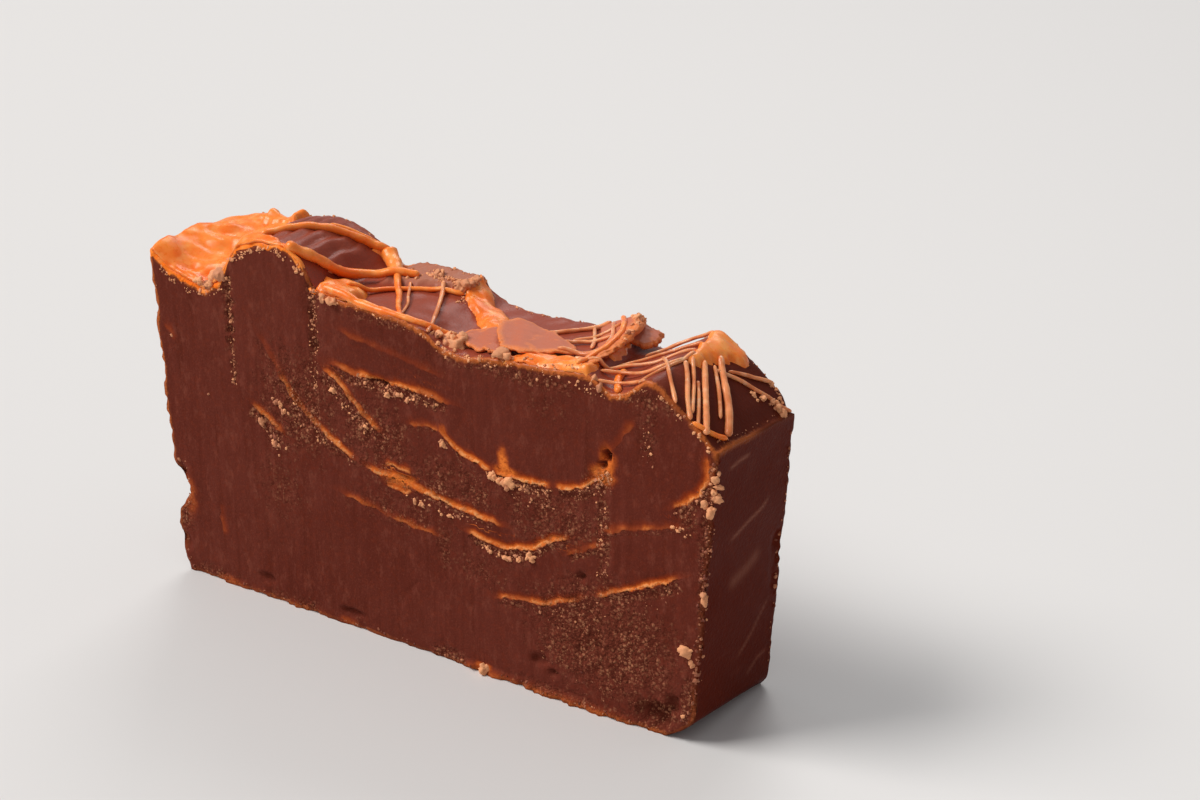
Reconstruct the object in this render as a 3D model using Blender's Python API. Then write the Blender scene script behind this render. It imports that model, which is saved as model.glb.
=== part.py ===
"""A slice of chocolate fudge cut from a loaf, with an orange icing drizzle on its folded top.

The frame has its origin in the middle of the flat bottom, +X along the slice, +Y through its
thickness from the front cut to the back cut, and +Z up. Lengths below are in millimetres and
become metres when a mesh is made. Run it with blender --background --python part.py.
"""

import math
from typing import NamedTuple

import bmesh
import bpy
from mathutils import Matrix, Vector, noise

MM = 0.001

# Driving dimensions of the slice
BOTTOM_LENGTH = 120.0
THICKNESS = 26.5
HALF_THICKNESS = THICKNESS / 2
LEFT_DRAFT_DEG = 2.8
RIGHT_DRAFT_DEG = 3.9
LEFT_OVERHANG = 1.3
WIDEST_LEFT = -65.0

# Mesh density: the widest column along X, the layers through the thickness, and the rows up
# as shares of the height, closest where the left end is chipped
COLUMN_WIDTH = 2.6
LAYERS = 9
ROW_SHARES = (0.0, 0.05, 0.12, 0.2, 0.285, 0.36, 0.43, 0.6, 0.8, 1.0)


class FoldLine(NamedTuple):
    """A fold that crosses the top from the front cut to the back cut, with its bow halfway."""

    front_x: float
    front_z: float
    back_x: float
    back_z: float
    bow: float


class Hollow(NamedTuple):
    """A rounded hollow in a cut face."""

    x: float
    z: float
    half_width: float
    half_height: float
    depth: float


class Strand(NamedTuple):
    """A thread of icing: its radius at both ends, and the plan points x, y that it follows."""

    name: str
    start_radius: float
    end_radius: float
    route: tuple


class Pool(NamedTuple):
    """Icing that ran together: its height, and plan points x, y with the half width there."""

    name: str
    height: float
    route: tuple


class Flake(NamedTuple):
    """A thin flake: its thickness, and its four corners in turn as x, y and lift."""

    name: str
    thickness: float
    corners: tuple


class Crumb(NamedTuple):
    """A crumb that shows from a step away."""

    x: float
    y: float
    z: float
    radius: float


# The folds of the top, from the left end to the right end
FOLDS = (
    FoldLine(-64.1, 67.4, -64.1, 66.0, 1.6),
    FoldLine(-60.9, 65.4, -61.5, 66.6, 2.0),
    FoldLine(-57.0, 63.4, -58.2, 68.0, 1.6),
    FoldLine(-51.1, 61.8, -54.6, 69.0, 1.0),
    FoldLine(-46.1, 64.6, -50.4, 68.0, 1.5),
    FoldLine(-43.4, 69.5, -47.6, 69.6, 1.0),
    FoldLine(-40.0, 73.2, -43.6, 71.3, 0.5),
    FoldLine(-32.5, 75.0, -37.5, 72.0, 0.3),
    FoldLine(-28.5, 73.8, -32.5, 70.9, 0.0),
    FoldLine(-25.2, 71.5, -28.0, 69.0, -1.2),
    FoldLine(-22.8, 68.3, -24.0, 65.8, -1.6),
    FoldLine(-19.3, 67.6, -21.0, 65.2, -1.0),
    FoldLine(-9.4, 67.1, -13.0, 65.7, -1.1),
    FoldLine(0.6, 66.0, -3.5, 65.5, -1.1),
    FoldLine(3.6, 64.6, -0.6, 64.4, -1.0),
    FoldLine(6.5, 62.9, 3.0, 62.7, -0.4),
    FoldLine(10.5, 62.5, 9.0, 62.2, 0.0),
    FoldLine(20.5, 64.0, 17.0, 62.6, 0.0),
    FoldLine(30.5, 64.6, 25.0, 63.0, 0.0),
    FoldLine(37.4, 65.3, 31.0, 64.3, 0.0),
    FoldLine(39.8, 64.3, 33.6, 61.9, -0.2),
    FoldLine(42.6, 62.9, 37.5, 61.3, 0.8),
    FoldLine(45.6, 63.8, 42.0, 63.4, 1.2),
    FoldLine(50.1, 66.9, 48.2, 66.5, 0.6),
    FoldLine(54.6, 64.4, 53.0, 64.4, 0.4),
    FoldLine(60.7, 59.8, 60.0, 59.0, 0.3),
    FoldLine(64.0, 57.3, 64.0, 55.3, 0.0),
)

# Pleats that run through the thickness on the tall hump
PLEAT_LEFT = -50.0
PLEAT_RIGHT = -25.0
PLEAT_PITCH = 4.6
PLEAT_HEIGHT = 0.45
PLEAT_SLANT = 0.12

# The broken ledge along the back of the middle trough
LEDGE_LEFT = -20.5
LEDGE_RIGHT = -1.5
LEDGE_Y = 5.0
LEDGE_SLANT = 0.25
LEDGE_MIDDLE = -9.0
LEDGE_HEIGHT = 1.2

# The chip low on the left end, and the worn feet of both ends
CHIP_Z = 18.5
CHIP_REACH = 6.5
CHIP_DEPTH = 3.4
LEFT_FOOT_DEPTH = 1.5
LEFT_FOOT_HEIGHT = 4.0
RIGHT_FOOT_FRONT = 5.8
RIGHT_FOOT_BACK = 1.2
RIGHT_FOOT_HEIGHT = 5.5
RIGHT_FOOT_BACK_HEIGHT = 2.2

# Hollows in the two cuts: the hole, slits, wire cracks and broken places
FRONT_HOLLOWS = (
    Hollow(41.6, 50.9, 2.4, 2.8, 2.6),
    Hollow(-8.0, 53.2, 3.4, 1.2, 1.2),
    Hollow(52.5, 3.2, 5.0, 3.2, 2.2),
    Hollow(-44.6, 60.0, 1.6, 9.0, 0.9),
    Hollow(-23.6, 62.0, 1.5, 7.0, 0.9),
    Hollow(27.5, 6.5, 2.6, 1.6, 0.9),
    Hollow(-17.0, 3.0, 3.5, 1.4, 0.8),
    Hollow(-39.0, 4.2, 3.0, 1.4, 0.8),
)
BACK_HOLLOWS = (
    Hollow(-38.0, 48.0, 3.0, 1.6, 1.4),
    Hollow(22.0, 30.0, 4.0, 1.2, 1.0),
    Hollow(48.0, 4.0, 4.0, 2.5, 1.4),
    Hollow(-5.0, 62.0, 1.6, 5.0, 0.9),
)
CUT_ROUGHNESS = 0.12
TOP_ROUGHNESS = 0.22

# The thick drizzle
STRANDS = (
    Strand(
        "crest",
        0.95,
        0.9,
        ((-38, -6), (-37, -2), (-34.8, 1.5), (-31.5, 6), (-28.5, 9.5), (-26, 12)),
    ),
    Strand("crest_fine", 0.5, 0.5, ((-35, 7), (-31.8, 9), (-29, 11), (-26.8, 12.4))),
    Strand(
        "hump_foot",
        1.1,
        0.8,
        ((-27.5, -11.5), (-26, -7.5), (-24.5, -3.5), (-22, 1.5), (-18, 4.5), (-15, 6.5)),
    ),
    Strand(
        "drop",
        1.4,
        0.5,
        ((-25.5, 11.8), (-21.5, 9), (-17, 4), (-12, -1.8), (-8, -7), (-4, -11)),
    ),
    Strand(
        "front_rim",
        0.9,
        0.8,
        ((-20, -12), (-14, -11.9), (-8, -11.9), (-3, -11.4), (0.5, -10.3), (4, -7)),
    ),
    Strand(
        "under_ledge",
        0.5,
        0.55,
        ((-17.3, -6), (-15.5, -0.8), (-12.5, 2.4), (-8.5, 4.6), (-3.5, 6)),
    ),
    Strand("trough_thread", 0.5, 0.5, ((-7, 4.5), (-2.5, -2.5), (2.5, -11.5))),
    Strand("panel", 0.55, 0.6, ((17.5, 2), (20.5, 5.5), (23, 9), (25.5, 12.2))),
    Strand(
        "curl_edge",
        0.9,
        0.95,
        ((28.5, 12), (31.3, 8), (33.6, 3.5), (34.8, -2.5), (34.8, -7.5), (35, -11.5)),
    ),
    Strand("flank_far", 0.5, 0.6, ((38, 4.5), (40, 9), (43.5, 11), (47.5, 10.5))),
    Strand("flank_upper", 0.6, 0.65, ((37.5, -3.5), (40, 0), (43, 3), (46.5, 4), (49, 5))),
    Strand("flank_middle", 0.7, 0.7, ((38, -8.5), (41, -6.8), (45, -7), (49, -6.3), (50.2, -2))),
    Strand("flank_front", 0.6, 0.55, ((39.5, -12), (42, -10.6), (45.5, -10.8), (49, -11.8))),
    Strand("crossing", 0.7, 0.8, ((39.5, -4), (41.8, -8.3), (44.3, -12))),
    Strand("facet_first", 0.5, 0.5, ((50.8, -2.5), (53, -5.3), (56, -9.9), (58, -12.3))),
    Strand("facet_second", 0.6, 0.6, ((52.6, 0.8), (55.5, -3.6), (58.7, -8.4), (61.3, -12.1))),
    Strand("facet_third", 0.75, 0.8, ((53.2, 5), (56.3, 1.2), (59.8, -3), (62.6, -7.4))),
    Strand("facet_foot", 0.55, 0.6, ((58.8, -12), (60.8, -11.3), (62.4, -8.8), (63.2, -7))),
    Strand("facet_far", 0.6, 0.55, ((53.8, 1.7), (57.6, 5.3), (60.5, 8.3), (63, 12))),
)
STRAND_LIFT = 0.35

# The icing that ran together into flat runs
POOLS = (
    Pool(
        "foot_pool",
        1.1,
        ((-21.3, -11.4, 2.2), (-20.8, -9.0, 4.0), (-20.6, -5.5, 3.6), (-20.8, -2.5, 1.6)),
    ),
    Pool(
        "flow",
        0.9,
        ((-3.7, 11.0, 1.8), (-1.6, 9.0, 2.4), (1.8, 6.3, 2.4), (5.5, 3.2, 2.6), (9.0, 0.8, 3.2)),
    ),
    Pool(
        "under_flakes",
        0.8,
        ((20.0, -11.4, 1.2), (25.0, -10.8, 2.2), (30.5, -10.6, 2.3), (34.8, -11.0, 1.6)),
    ),
    Pool(
        "ridge_blob",
        1.0,
        ((50.3, -1.5, 1.0), (51.3, 2.5, 1.7), (51.8, 7.0, 2.4), (51.6, 10.4, 2.4)),
    ),
    Pool("left_lump", 1.2, ((-58.0, 9.5, 1.2), (-55.0, 10.6, 2.0), (-52.0, 11.2, 1.4))),
)
POOL_SINK = 0.9
POOL_ROWS = 4

# The flakes that broke off the top, and the flap that hangs over the hollow of the curl
FLAKES = (
    Flake(
        "flake_small",
        0.9,
        ((6.0, -7.2, 0.4), (14.0, -10.3, 0.7), (14.8, -3.0, 1.0), (6.6, -1.5, 0.3)),
    ),
    Flake(
        "flake_large",
        0.9,
        ((13.5, -9.5, 1.5), (28.3, -7.6, 0.7), (22.5, -0.4, 0.5), (10.6, 2.4, 1.0)),
    ),
    Flake("flap", 1.2, ((34.0, 3.5, 1.2), (38.4, 5.5, 1.8), (37.6, 12.6, 2.0), (32.8, 12.6, 2.6))),
)
FLAKE_COLUMNS = 6
FLAKE_ROWS = 4

CRUMBS = (
    Crumb(4.2, -10.6, 64.3, 1.1),
    Crumb(4.6, -7.6, 63.9, 1.2),
    Crumb(6.4, -9.8, 63.6, 0.9),
    Crumb(18.6, -11.8, 64.2, 1.0),
    Crumb(58.4, -12.3, 18.3, 1.1),
    Crumb(61.8, -12.3, 29.4, 0.9),
    Crumb(63.0, -12.3, 46.0, 1.0),
    Crumb(64.07, -12.2, 50.5, 0.9),
    Crumb(-64.0, -12.3, 34.5, 0.8),
    Crumb(-61.3, -12.2, 11.5, 1.0),
)

# Points of the fused solid closer than this are one point
CLOSEST_POINTS = 0.03

# The curl that breaks to the right like a wave: x, y and scale along its spine
CURL_SPINE = (
    (30.0, 12.9, 1.00),
    (31.2, 9.5, 1.15),
    (33.0, 5.0, 0.95),
    (34.2, 0.5, 0.75),
    (34.9, -4.0, 0.55),
    (35.3, -8.5, 0.45),
    (35.6, -11.8, 0.35),
)
# Its section, across the spine and up, going round clockwise from its left root
CURL_SECTION = (
    (-5.0, -0.5),
    (-2.4, 0.8),
    (-0.2, 1.9),
    (1.4, 2.6),
    (2.7, 2.4),
    (3.1, 1.6),
    (2.0, 0.9),
    (1.1, 0.2),
    (0.6, -1.6),
    (-3.5, -1.8),
)


def lerp(a, b, t):
    """Return the value a share t of the way from a to b."""
    return a + (b - a) * t


def ease(a, b, value):
    """Return 0 at a and 1 at b, with a smooth start and end."""
    t = min(1.0, max(0.0, (value - a) / (b - a)))
    return t * t * (3 - 2 * t)


def dimple(x, z, hollow):
    """Return the depth that a rounded hollow has at a point of a cut face."""
    reach = math.hypot((x - hollow.x) / hollow.half_width, (z - hollow.z) / hollow.half_height)
    return hollow.depth * (1 - ease(0.35, 1.0, reach))


def monotone(stations, heights, x):
    """Return the height at x on a smooth curve through the stations that never overshoots."""
    last = len(stations) - 1
    if x <= stations[0]:
        return heights[0]
    if x >= stations[last]:
        return heights[last]
    slopes = [(heights[i + 1] - heights[i]) / (stations[i + 1] - stations[i]) for i in range(last)]
    i = next(k for k in range(last) if x <= stations[k + 1])

    def tangent(k):
        if k in (0, last) or slopes[k - 1] * slopes[k] <= 0:
            return 0.0
        return 2 * slopes[k - 1] * slopes[k] / (slopes[k - 1] + slopes[k])

    width = stations[i + 1] - stations[i]
    t = (x - stations[i]) / width
    start, end = tangent(i) * width, tangent(i + 1) * width
    rise = heights[i + 1] - heights[i]
    return heights[i] + t * (start + t * (3 * rise - 2 * start - end + t * (start + end - 2 * rise)))


def fold_at(fold, through):
    """Return where a fold line stands, and how high, at a share of the thickness."""
    bow = fold.bow * 4 * through * (1 - through)
    return (
        lerp(fold.front_x, fold.back_x, through),
        lerp(fold.front_z, fold.back_z, through) + bow,
    )


def top_height(x, y):
    """Return the height of the folded top above the bottom at a point of the plan."""
    through = min(1.0, max(0.0, y / THICKNESS + 0.5))
    stations, heights = zip(*(fold_at(fold, through) for fold in FOLDS))
    height = monotone(stations, heights, x)
    pleated = ease(PLEAT_LEFT, PLEAT_LEFT + 5, x) * (1 - ease(PLEAT_RIGHT - 2, PLEAT_RIGHT + 2, x))
    pleated *= ease(0.12, 0.3, through)
    height += pleated * PLEAT_HEIGHT * math.sin(math.tau * (x + PLEAT_SLANT * y) / PLEAT_PITCH)
    ledge = ease(LEDGE_LEFT, LEDGE_LEFT + 2, x) * (1 - ease(LEDGE_RIGHT - 2, LEDGE_RIGHT, x))
    ledge *= ease(-0.8, 0.8, y - LEDGE_Y - LEDGE_SLANT * (x - LEDGE_MIDDLE))
    return height + ledge * LEDGE_HEIGHT


def left_edge(y, z):
    """Return x on the left end face, with its slow waves, the chip and the worn foot."""
    x = -BOTTOM_LENGTH / 2 - LEFT_OVERHANG - z * math.tan(math.radians(LEFT_DRAFT_DEG))
    x += 0.25 * math.sin(z * 0.45 + 0.8) * ease(5, 15, z) + 0.15 * math.sin(y * 0.5)
    chip = (1 - ease(0.0, CHIP_REACH, abs(z - CHIP_Z))) * (1 - ease(-6.0, 7.0, y))
    foot = LEFT_FOOT_DEPTH * (1 - ease(0, LEFT_FOOT_HEIGHT, z))
    return max(WIDEST_LEFT, x + CHIP_DEPTH * chip + foot)


def right_edge(y, z):
    """Return x on the right end face, with the rounded foot that is deepest at the front."""
    x = BOTTOM_LENGTH / 2 + z * math.tan(math.radians(RIGHT_DRAFT_DEG))
    x += 0.15 * math.sin(z * 0.35) * ease(5, 12, z)
    through = y / THICKNESS + 0.5
    depth = lerp(RIGHT_FOOT_FRONT, RIGHT_FOOT_BACK, through)
    height = lerp(RIGHT_FOOT_HEIGHT, RIGHT_FOOT_BACK_HEIGHT, through)
    return x - depth * (1 - min(1.0, z / height)) ** 1.6


def cut_recess(x, z, hollows, seed):
    """Return how far a cut face stands back from its plane."""
    rough = CUT_ROUGHNESS * (1 + noise.noise(Vector((x * 0.35, seed, z * 0.12))))
    return rough + max(dimple(x, z, hollow) for hollow in hollows)


def column_shares():
    """Return the place of each column as a fold's number plus the share to the next fold."""
    shares = []
    for number in range(len(FOLDS) - 1):
        width = FOLDS[number + 1].front_x - FOLDS[number].front_x
        steps = max(1, math.ceil(width / COLUMN_WIDTH))
        shares += [number + step / steps for step in range(steps)]
    return shares + [len(FOLDS) - 1.0]


def column_x(share, through):
    """Return x of a column where it meets the top."""
    number = min(int(share), len(FOLDS) - 2)
    here, _ = fold_at(FOLDS[number], through)
    there, _ = fold_at(FOLDS[number + 1], through)
    return lerp(here, there, share - number)


def block_point(column, layer, row):
    """Return the point of the slice at a column's share, a share of the thickness, and a row.

    The columns fan out with the draft of the ends, so each keeps its share of the length.
    """
    y = lerp(-HALF_THICKNESS, HALF_THICKNESS, layer)
    top_x = column_x(column, layer)
    top_z = top_height(top_x, y) + TOP_ROUGHNESS * noise.noise(Vector((top_x * 0.6, y * 0.6, 3.0)))
    z = top_z * ROW_SHARES[row]
    share = (top_x - FOLDS[0].front_x) / (FOLDS[-1].front_x - FOLDS[0].front_x)
    x = lerp(left_edge(y, z), right_edge(y, z), share)
    if layer == 0:
        y += cut_recess(x, z, FRONT_HOLLOWS, 1.0)
    elif layer == 1:
        y -= cut_recess(x, z, BACK_HOLLOWS, 5.0)
    return x, y, z


def along(route, share):
    """Return the point a share of the way along a route, on a smooth curve through its points."""
    place = share * (len(route) - 1)
    number = min(int(place), len(route) - 2)
    t = place - number
    before = route[max(0, number - 1)]
    here, there = route[number], route[number + 1]
    after = route[min(len(route) - 1, number + 2)]
    return [
        0.5 * (2 * b + (c - a) * t + (2 * a - 5 * b + 4 * c - d) * t**2 + (3 * b - a - 3 * c + d) * t**3)
        for a, b, c, d in zip(before, here, there, after)
    ]


def remove_all_objects():
    """Remove every object that the scene holds at the start."""
    for item in list(bpy.data.objects):
        bpy.data.objects.remove(item, do_unlink=True)


def make_material(name, colour, roughness):
    """Return a Principled material with one colour and roughness."""
    material = bpy.data.materials.new(name)
    material.use_nodes = True
    shader = material.node_tree.nodes["Principled BSDF"]
    shader.inputs["Base Color"].default_value = (*colour, 1.0)
    shader.inputs["Roughness"].default_value = roughness
    shader.inputs["Metallic"].default_value = 0.0
    return material


def object_from(bm, name, material, collection):
    """Turn a bmesh in millimetres into an object in metres, in a collection."""
    bmesh.ops.recalc_face_normals(bm, faces=bm.faces)
    bm.transform(Matrix.Scale(MM, 4))
    mesh = bpy.data.meshes.new(name)
    bm.to_mesh(mesh)
    bm.free()
    mesh.materials.append(material)
    item = bpy.data.objects.new(name, mesh)
    collection.objects.link(item)
    return item


def subdivided_cube(columns, layers, rows):
    """Return a unit cube's bmesh, cut into columns along X, layers along Y and rows along Z."""
    bm = bmesh.new()
    bmesh.ops.create_cube(bm, size=1.0)
    for axis, count in enumerate((columns, layers, rows)):
        edges = [e for e in bm.edges if abs((e.verts[1].co - e.verts[0].co)[axis]) > 0.5]
        if count > 1:
            bmesh.ops.subdivide_edges(bm, edges=edges, cuts=count - 1, use_grid_fill=True)
    return bm


def make_slice(material, collection):
    """Model the block: a cut cube whose points go to their place in the slice."""
    shares = column_shares()
    rows = len(ROW_SHARES) - 1
    bm = subdivided_cube(len(shares) - 1, LAYERS, rows)
    for vert in bm.verts:
        column = round((vert.co.x + 0.5) * (len(shares) - 1))
        layer = round((vert.co.y + 0.5) * LAYERS) / LAYERS
        row = round((vert.co.z + 0.5) * rows)
        vert.co = block_point(shares[column], layer, row)
    bottom = [face for face in bm.faces if all(vert.co.z < 1e-6 for vert in face.verts)]
    bmesh.ops.dissolve_faces(bm, faces=bottom, use_verts=False)
    return object_from(bm, "fudge_slice", material, collection)


def make_strand(strand, material, collection):
    """Model a thread of icing as a bevelled curve along the top, made a mesh."""
    count = 2 * (len(strand.route) - 1) + 1
    curve = bpy.data.curves.new(strand.name, "CURVE")
    curve.dimensions = "3D"
    curve.bevel_depth = MM
    curve.bevel_resolution = 1
    curve.use_fill_caps = True
    spline = curve.splines.new("POLY")
    spline.points.add(count - 1)
    for number, point in enumerate(spline.points):
        share = number / (count - 1)
        x, y = along(strand.route, share)
        radius = lerp(strand.start_radius, strand.end_radius, share)
        point.co = (x * MM, y * MM, (top_height(x, y) + STRAND_LIFT * radius) * MM, 1.0)
        point.radius = radius
    guide = bpy.data.objects.new(strand.name, curve)
    collection.objects.link(guide)
    mesh = bpy.data.meshes.new_from_object(guide.evaluated_get(bpy.context.evaluated_depsgraph_get()))
    bm = bmesh.new()
    bm.from_mesh(mesh)
    bmesh.ops.remove_doubles(bm, verts=bm.verts, dist=1e-6)
    bmesh.ops.recalc_face_normals(bm, faces=bm.faces)
    bm.to_mesh(mesh)
    bm.free()
    mesh.materials.clear()
    mesh.materials.append(material)
    tube = bpy.data.objects.new(strand.name + "_mesh", mesh)
    tube.matrix_world = guide.matrix_world
    collection.objects.link(tube)
    bpy.data.objects.remove(guide, do_unlink=True)


def make_pool(pool, material, collection):
    """Model a flat run of icing: a cut cube laid along the route, thin at its rim."""
    columns = 3 * (len(pool.route) - 1)
    bm = subdivided_cube(columns, POOL_ROWS, 1)
    for vert in bm.verts:
        share, side = vert.co.x + 0.5, 2 * vert.co.y
        x, y, half_width = along(pool.route, share)
        ahead = along(pool.route, min(1.0, share + 0.02))
        behind = along(pool.route, max(0.0, share - 0.02))
        heading = math.atan2(ahead[1] - behind[1], ahead[0] - behind[0])
        taper = math.sqrt(max(0.12, 1 - (2 * share - 1) ** 6))
        offset = half_width * taper * side
        x -= offset * math.sin(heading)
        y += offset * math.cos(heading)
        y = min(HALF_THICKNESS - 0.4, max(-HALF_THICKNESS + 0.4, y))
        crown = pool.height * (1 - side**4) * taper
        lift = 0.12 + crown if vert.co.z > 0 else -POOL_SINK
        vert.co = (x, y, top_height(x, y) + lift)
    object_from(bm, pool.name, material, collection)


def make_flake(flake, material, collection):
    """Model a flake: a thin cut cube between its four corners, wavy and torn at its edge."""
    bm = subdivided_cube(FLAKE_COLUMNS, FLAKE_ROWS, 1)
    corners = [Vector((x, y, top_height(x, y) + lift)) for x, y, lift in flake.corners]
    for vert in bm.verts:
        across, deep = vert.co.x + 0.5, vert.co.y + 0.5
        rounding = 1 - 0.14 * abs(2 * across - 1) ** 3 * abs(2 * deep - 1) ** 3
        across, deep = 0.5 + (across - 0.5) * rounding, 0.5 + (deep - 0.5) * rounding
        near = corners[0].lerp(corners[1], across)
        far = corners[3].lerp(corners[2], across)
        place = near.lerp(far, deep)
        ragged = Vector((place.x * 0.5, place.y * 0.5, 7.0))
        place += Vector((noise.noise(ragged), noise.noise(ragged + Vector((9, 0, 0))), 0)) * 0.8
        place.z += 0.25 * math.sin(0.8 * place.x + 0.5 * place.y)
        place.y = max(-HALF_THICKNESS + 0.5, min(HALF_THICKNESS - 0.4, place.y))
        vert.co = place + Vector((0, 0, flake.thickness * vert.co.z))
    object_from(bm, flake.name, material, collection)


def make_curl(material, collection):
    """Model the curl: its section extruded along the spine, station by station."""
    bm = bmesh.new()
    bmesh.ops.create_circle(bm, cap_ends=True, segments=len(CURL_SECTION), radius=1.0)
    cap = bm.faces[:][0]
    rings = [list(cap.verts)]
    for _ in CURL_SPINE[1:]:
        grown = bmesh.ops.extrude_face_region(bm, geom=[cap])
        if len(rings) > 1:
            bmesh.ops.delete(bm, geom=[cap], context="FACES_ONLY")
        cap = next(item for item in grown["geom"] if isinstance(item, bmesh.types.BMFace))
        rings.append(list(cap.verts))
    for ring, (x, y, scale) in zip(rings, CURL_SPINE):
        base = top_height(x, y)
        for vert, (across, up) in zip(ring, CURL_SECTION):
            lean = 0.15 * math.sin(1.7 * y + across)
            vert.co = (x + across * scale + lean, y, base + up * (scale if up > 0 else 1.0))
    object_from(bm, "curl", material, collection)


def make_crumb(crumb, number, material, collection):
    """Model a crumb as a dented ball of few faces."""
    bm = bmesh.new()
    bmesh.ops.create_icosphere(bm, subdivisions=1, radius=crumb.radius)
    for vert in bm.verts:
        vert.co *= 1 + 0.45 * noise.noise(vert.co * 1.7 + Vector((number, 0, 0)))
        vert.co += Vector((crumb.x, crumb.y, crumb.z))
        vert.co.y = max(-HALF_THICKNESS, vert.co.y)
    object_from(bm, f"crumb_{number}", material, collection)


def fuse(body, toppings):
    """Join the toppings to the body by one Boolean union, then remove the toppings."""
    union = body.modifiers.new("toppings", "BOOLEAN")
    union.operation = "UNION"
    union.operand_type = "COLLECTION"
    union.collection = toppings
    union.solver = "EXACT"
    union.material_mode = "TRANSFER"
    whole = bpy.data.meshes.new_from_object(body.evaluated_get(bpy.context.evaluated_depsgraph_get()))
    body.modifiers.remove(union)
    body.data = whole
    for item in list(toppings.objects):
        bpy.data.objects.remove(item, do_unlink=True)
    bpy.data.collections.remove(toppings)


def keep_largest_island(body):
    """Drop loose scraps and sealed hollows, and tidy what the union left."""
    bm = bmesh.new()
    bm.from_mesh(body.data)
    bmesh.ops.triangulate(bm, faces=bm.faces)
    bmesh.ops.remove_doubles(bm, verts=bm.verts, dist=CLOSEST_POINTS * MM)
    pinched = [edge for edge in bm.edges if len(edge.link_faces) > 2]
    bmesh.ops.collapse(bm, edges=pinched)
    loose = [edge for edge in bm.edges if not edge.link_faces]
    bmesh.ops.delete(bm, geom=loose, context="EDGES")
    islands = []
    waiting = set(bm.faces)
    while waiting:
        frontier = [waiting.pop()]
        island = set(frontier)
        while frontier:
            face = frontier.pop()
            near = {other for edge in face.edges for other in edge.link_faces} & waiting
            waiting -= near
            island |= near
            frontier += near
        islands.append(island)
    islands.sort(key=len)
    scraps = [face for island in islands[:-1] for face in island]
    bmesh.ops.delete(bm, geom=scraps, context="FACES")
    bm.to_mesh(body.data)
    bm.free()


def main():
    """Build the slice with its fused toppings as one solid."""
    remove_all_objects()
    part = bpy.data.collections.new("chocolate_fudge")
    toppings = bpy.data.collections.new("toppings")
    for collection in (part, toppings):
        bpy.context.scene.collection.children.link(collection)
    fudge = make_material("fudge", (0.10, 0.025, 0.016), 0.5)
    icing = make_material("icing", (0.85, 0.26, 0.05), 0.35)

    body = make_slice(fudge, part)
    for strand in STRANDS:
        make_strand(strand, icing, toppings)
    for pool in POOLS:
        make_pool(pool, icing, toppings)
    for flake in FLAKES:
        make_flake(flake, fudge, toppings)
    make_curl(fudge, toppings)
    for number, crumb in enumerate(CRUMBS):
        make_crumb(crumb, number, fudge, toppings)
    fuse(body, toppings)
    keep_largest_island(body)


main()
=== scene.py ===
"""A slice of dark chocolate fudge with a folded top, orange marbling and an icing drizzle.

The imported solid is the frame. One dense body replaces it, and the icing, flakes, curl and crumbs
stand on that body. Sizes are in millimetres until a mesh is finished, with the origin in the
middle of the flat bottom, +X along the slice, +Y through its thickness and +Z up.
"""

from __future__ import annotations

import logging
import math
from dataclasses import dataclass, field
from enum import Enum
from typing import Any, Callable, Iterable, Sequence

import bmesh
import bpy
import numpy as np
from mathutils import Matrix, Vector
from mathutils.bvhtree import BVHTree

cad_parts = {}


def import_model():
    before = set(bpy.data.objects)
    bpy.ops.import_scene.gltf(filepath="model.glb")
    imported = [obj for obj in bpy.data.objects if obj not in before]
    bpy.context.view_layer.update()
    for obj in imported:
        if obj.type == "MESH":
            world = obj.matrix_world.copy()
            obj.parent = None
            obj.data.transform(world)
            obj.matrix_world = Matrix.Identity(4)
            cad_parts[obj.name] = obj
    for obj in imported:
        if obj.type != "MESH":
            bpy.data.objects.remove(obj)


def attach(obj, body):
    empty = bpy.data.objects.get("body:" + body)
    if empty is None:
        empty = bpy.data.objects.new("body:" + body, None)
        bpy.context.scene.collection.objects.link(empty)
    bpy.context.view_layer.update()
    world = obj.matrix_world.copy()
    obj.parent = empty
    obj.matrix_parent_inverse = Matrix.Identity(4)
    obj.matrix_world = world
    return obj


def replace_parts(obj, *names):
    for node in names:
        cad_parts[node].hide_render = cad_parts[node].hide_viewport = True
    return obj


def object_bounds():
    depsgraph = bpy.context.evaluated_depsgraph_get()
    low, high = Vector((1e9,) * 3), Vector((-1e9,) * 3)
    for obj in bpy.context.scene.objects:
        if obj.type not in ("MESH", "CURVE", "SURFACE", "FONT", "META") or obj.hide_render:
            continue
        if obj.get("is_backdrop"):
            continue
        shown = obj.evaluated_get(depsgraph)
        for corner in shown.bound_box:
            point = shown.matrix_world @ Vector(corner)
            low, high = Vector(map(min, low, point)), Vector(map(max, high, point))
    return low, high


LOG = logging.getLogger("fudge")
MM = 0.001
NODE = "fudge_slice"
FAR_AWAY = 1e9

Point = tuple[float, float]
Colour = tuple[float, float, float]
Array = np.ndarray
Mesh, Material, Piece = bpy.types.Mesh, bpy.types.Material, bpy.types.Object
Link, BMesh, Ring = bpy.types.NodeSocket, bmesh.types.BMesh, Sequence[bmesh.types.BMVert]


class Slot(Enum):
    """The record's material slots."""

    FUDGE = "fudge"
    ICING = "icing"


class Cut(Enum):
    """The two cut faces, by the side of the slice that they are on."""

    FRONT = -1.0
    BACK = 1.0


def ease(low: float, high: float, value: Array) -> Array:
    """Return 0 at low and 1 at high, with a smooth start and end."""
    t = np.clip((np.asarray(value, float) - low) / (high - low), 0.0, 1.0)
    return t * t * (3.0 - 2.0 * t)


def span(low: float, rise: float, fall: float, high: float, value: Array) -> Array:
    """Return 1 from rise to fall, with smooth slopes to 0 at low and high."""
    return ease(low, rise, value) * (1 - ease(fall, high, value))


def rows(kind: type, *table: tuple) -> tuple:
    """Return one object of a kind for each row of a table."""
    return tuple(kind(*row) for row in table)


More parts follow.
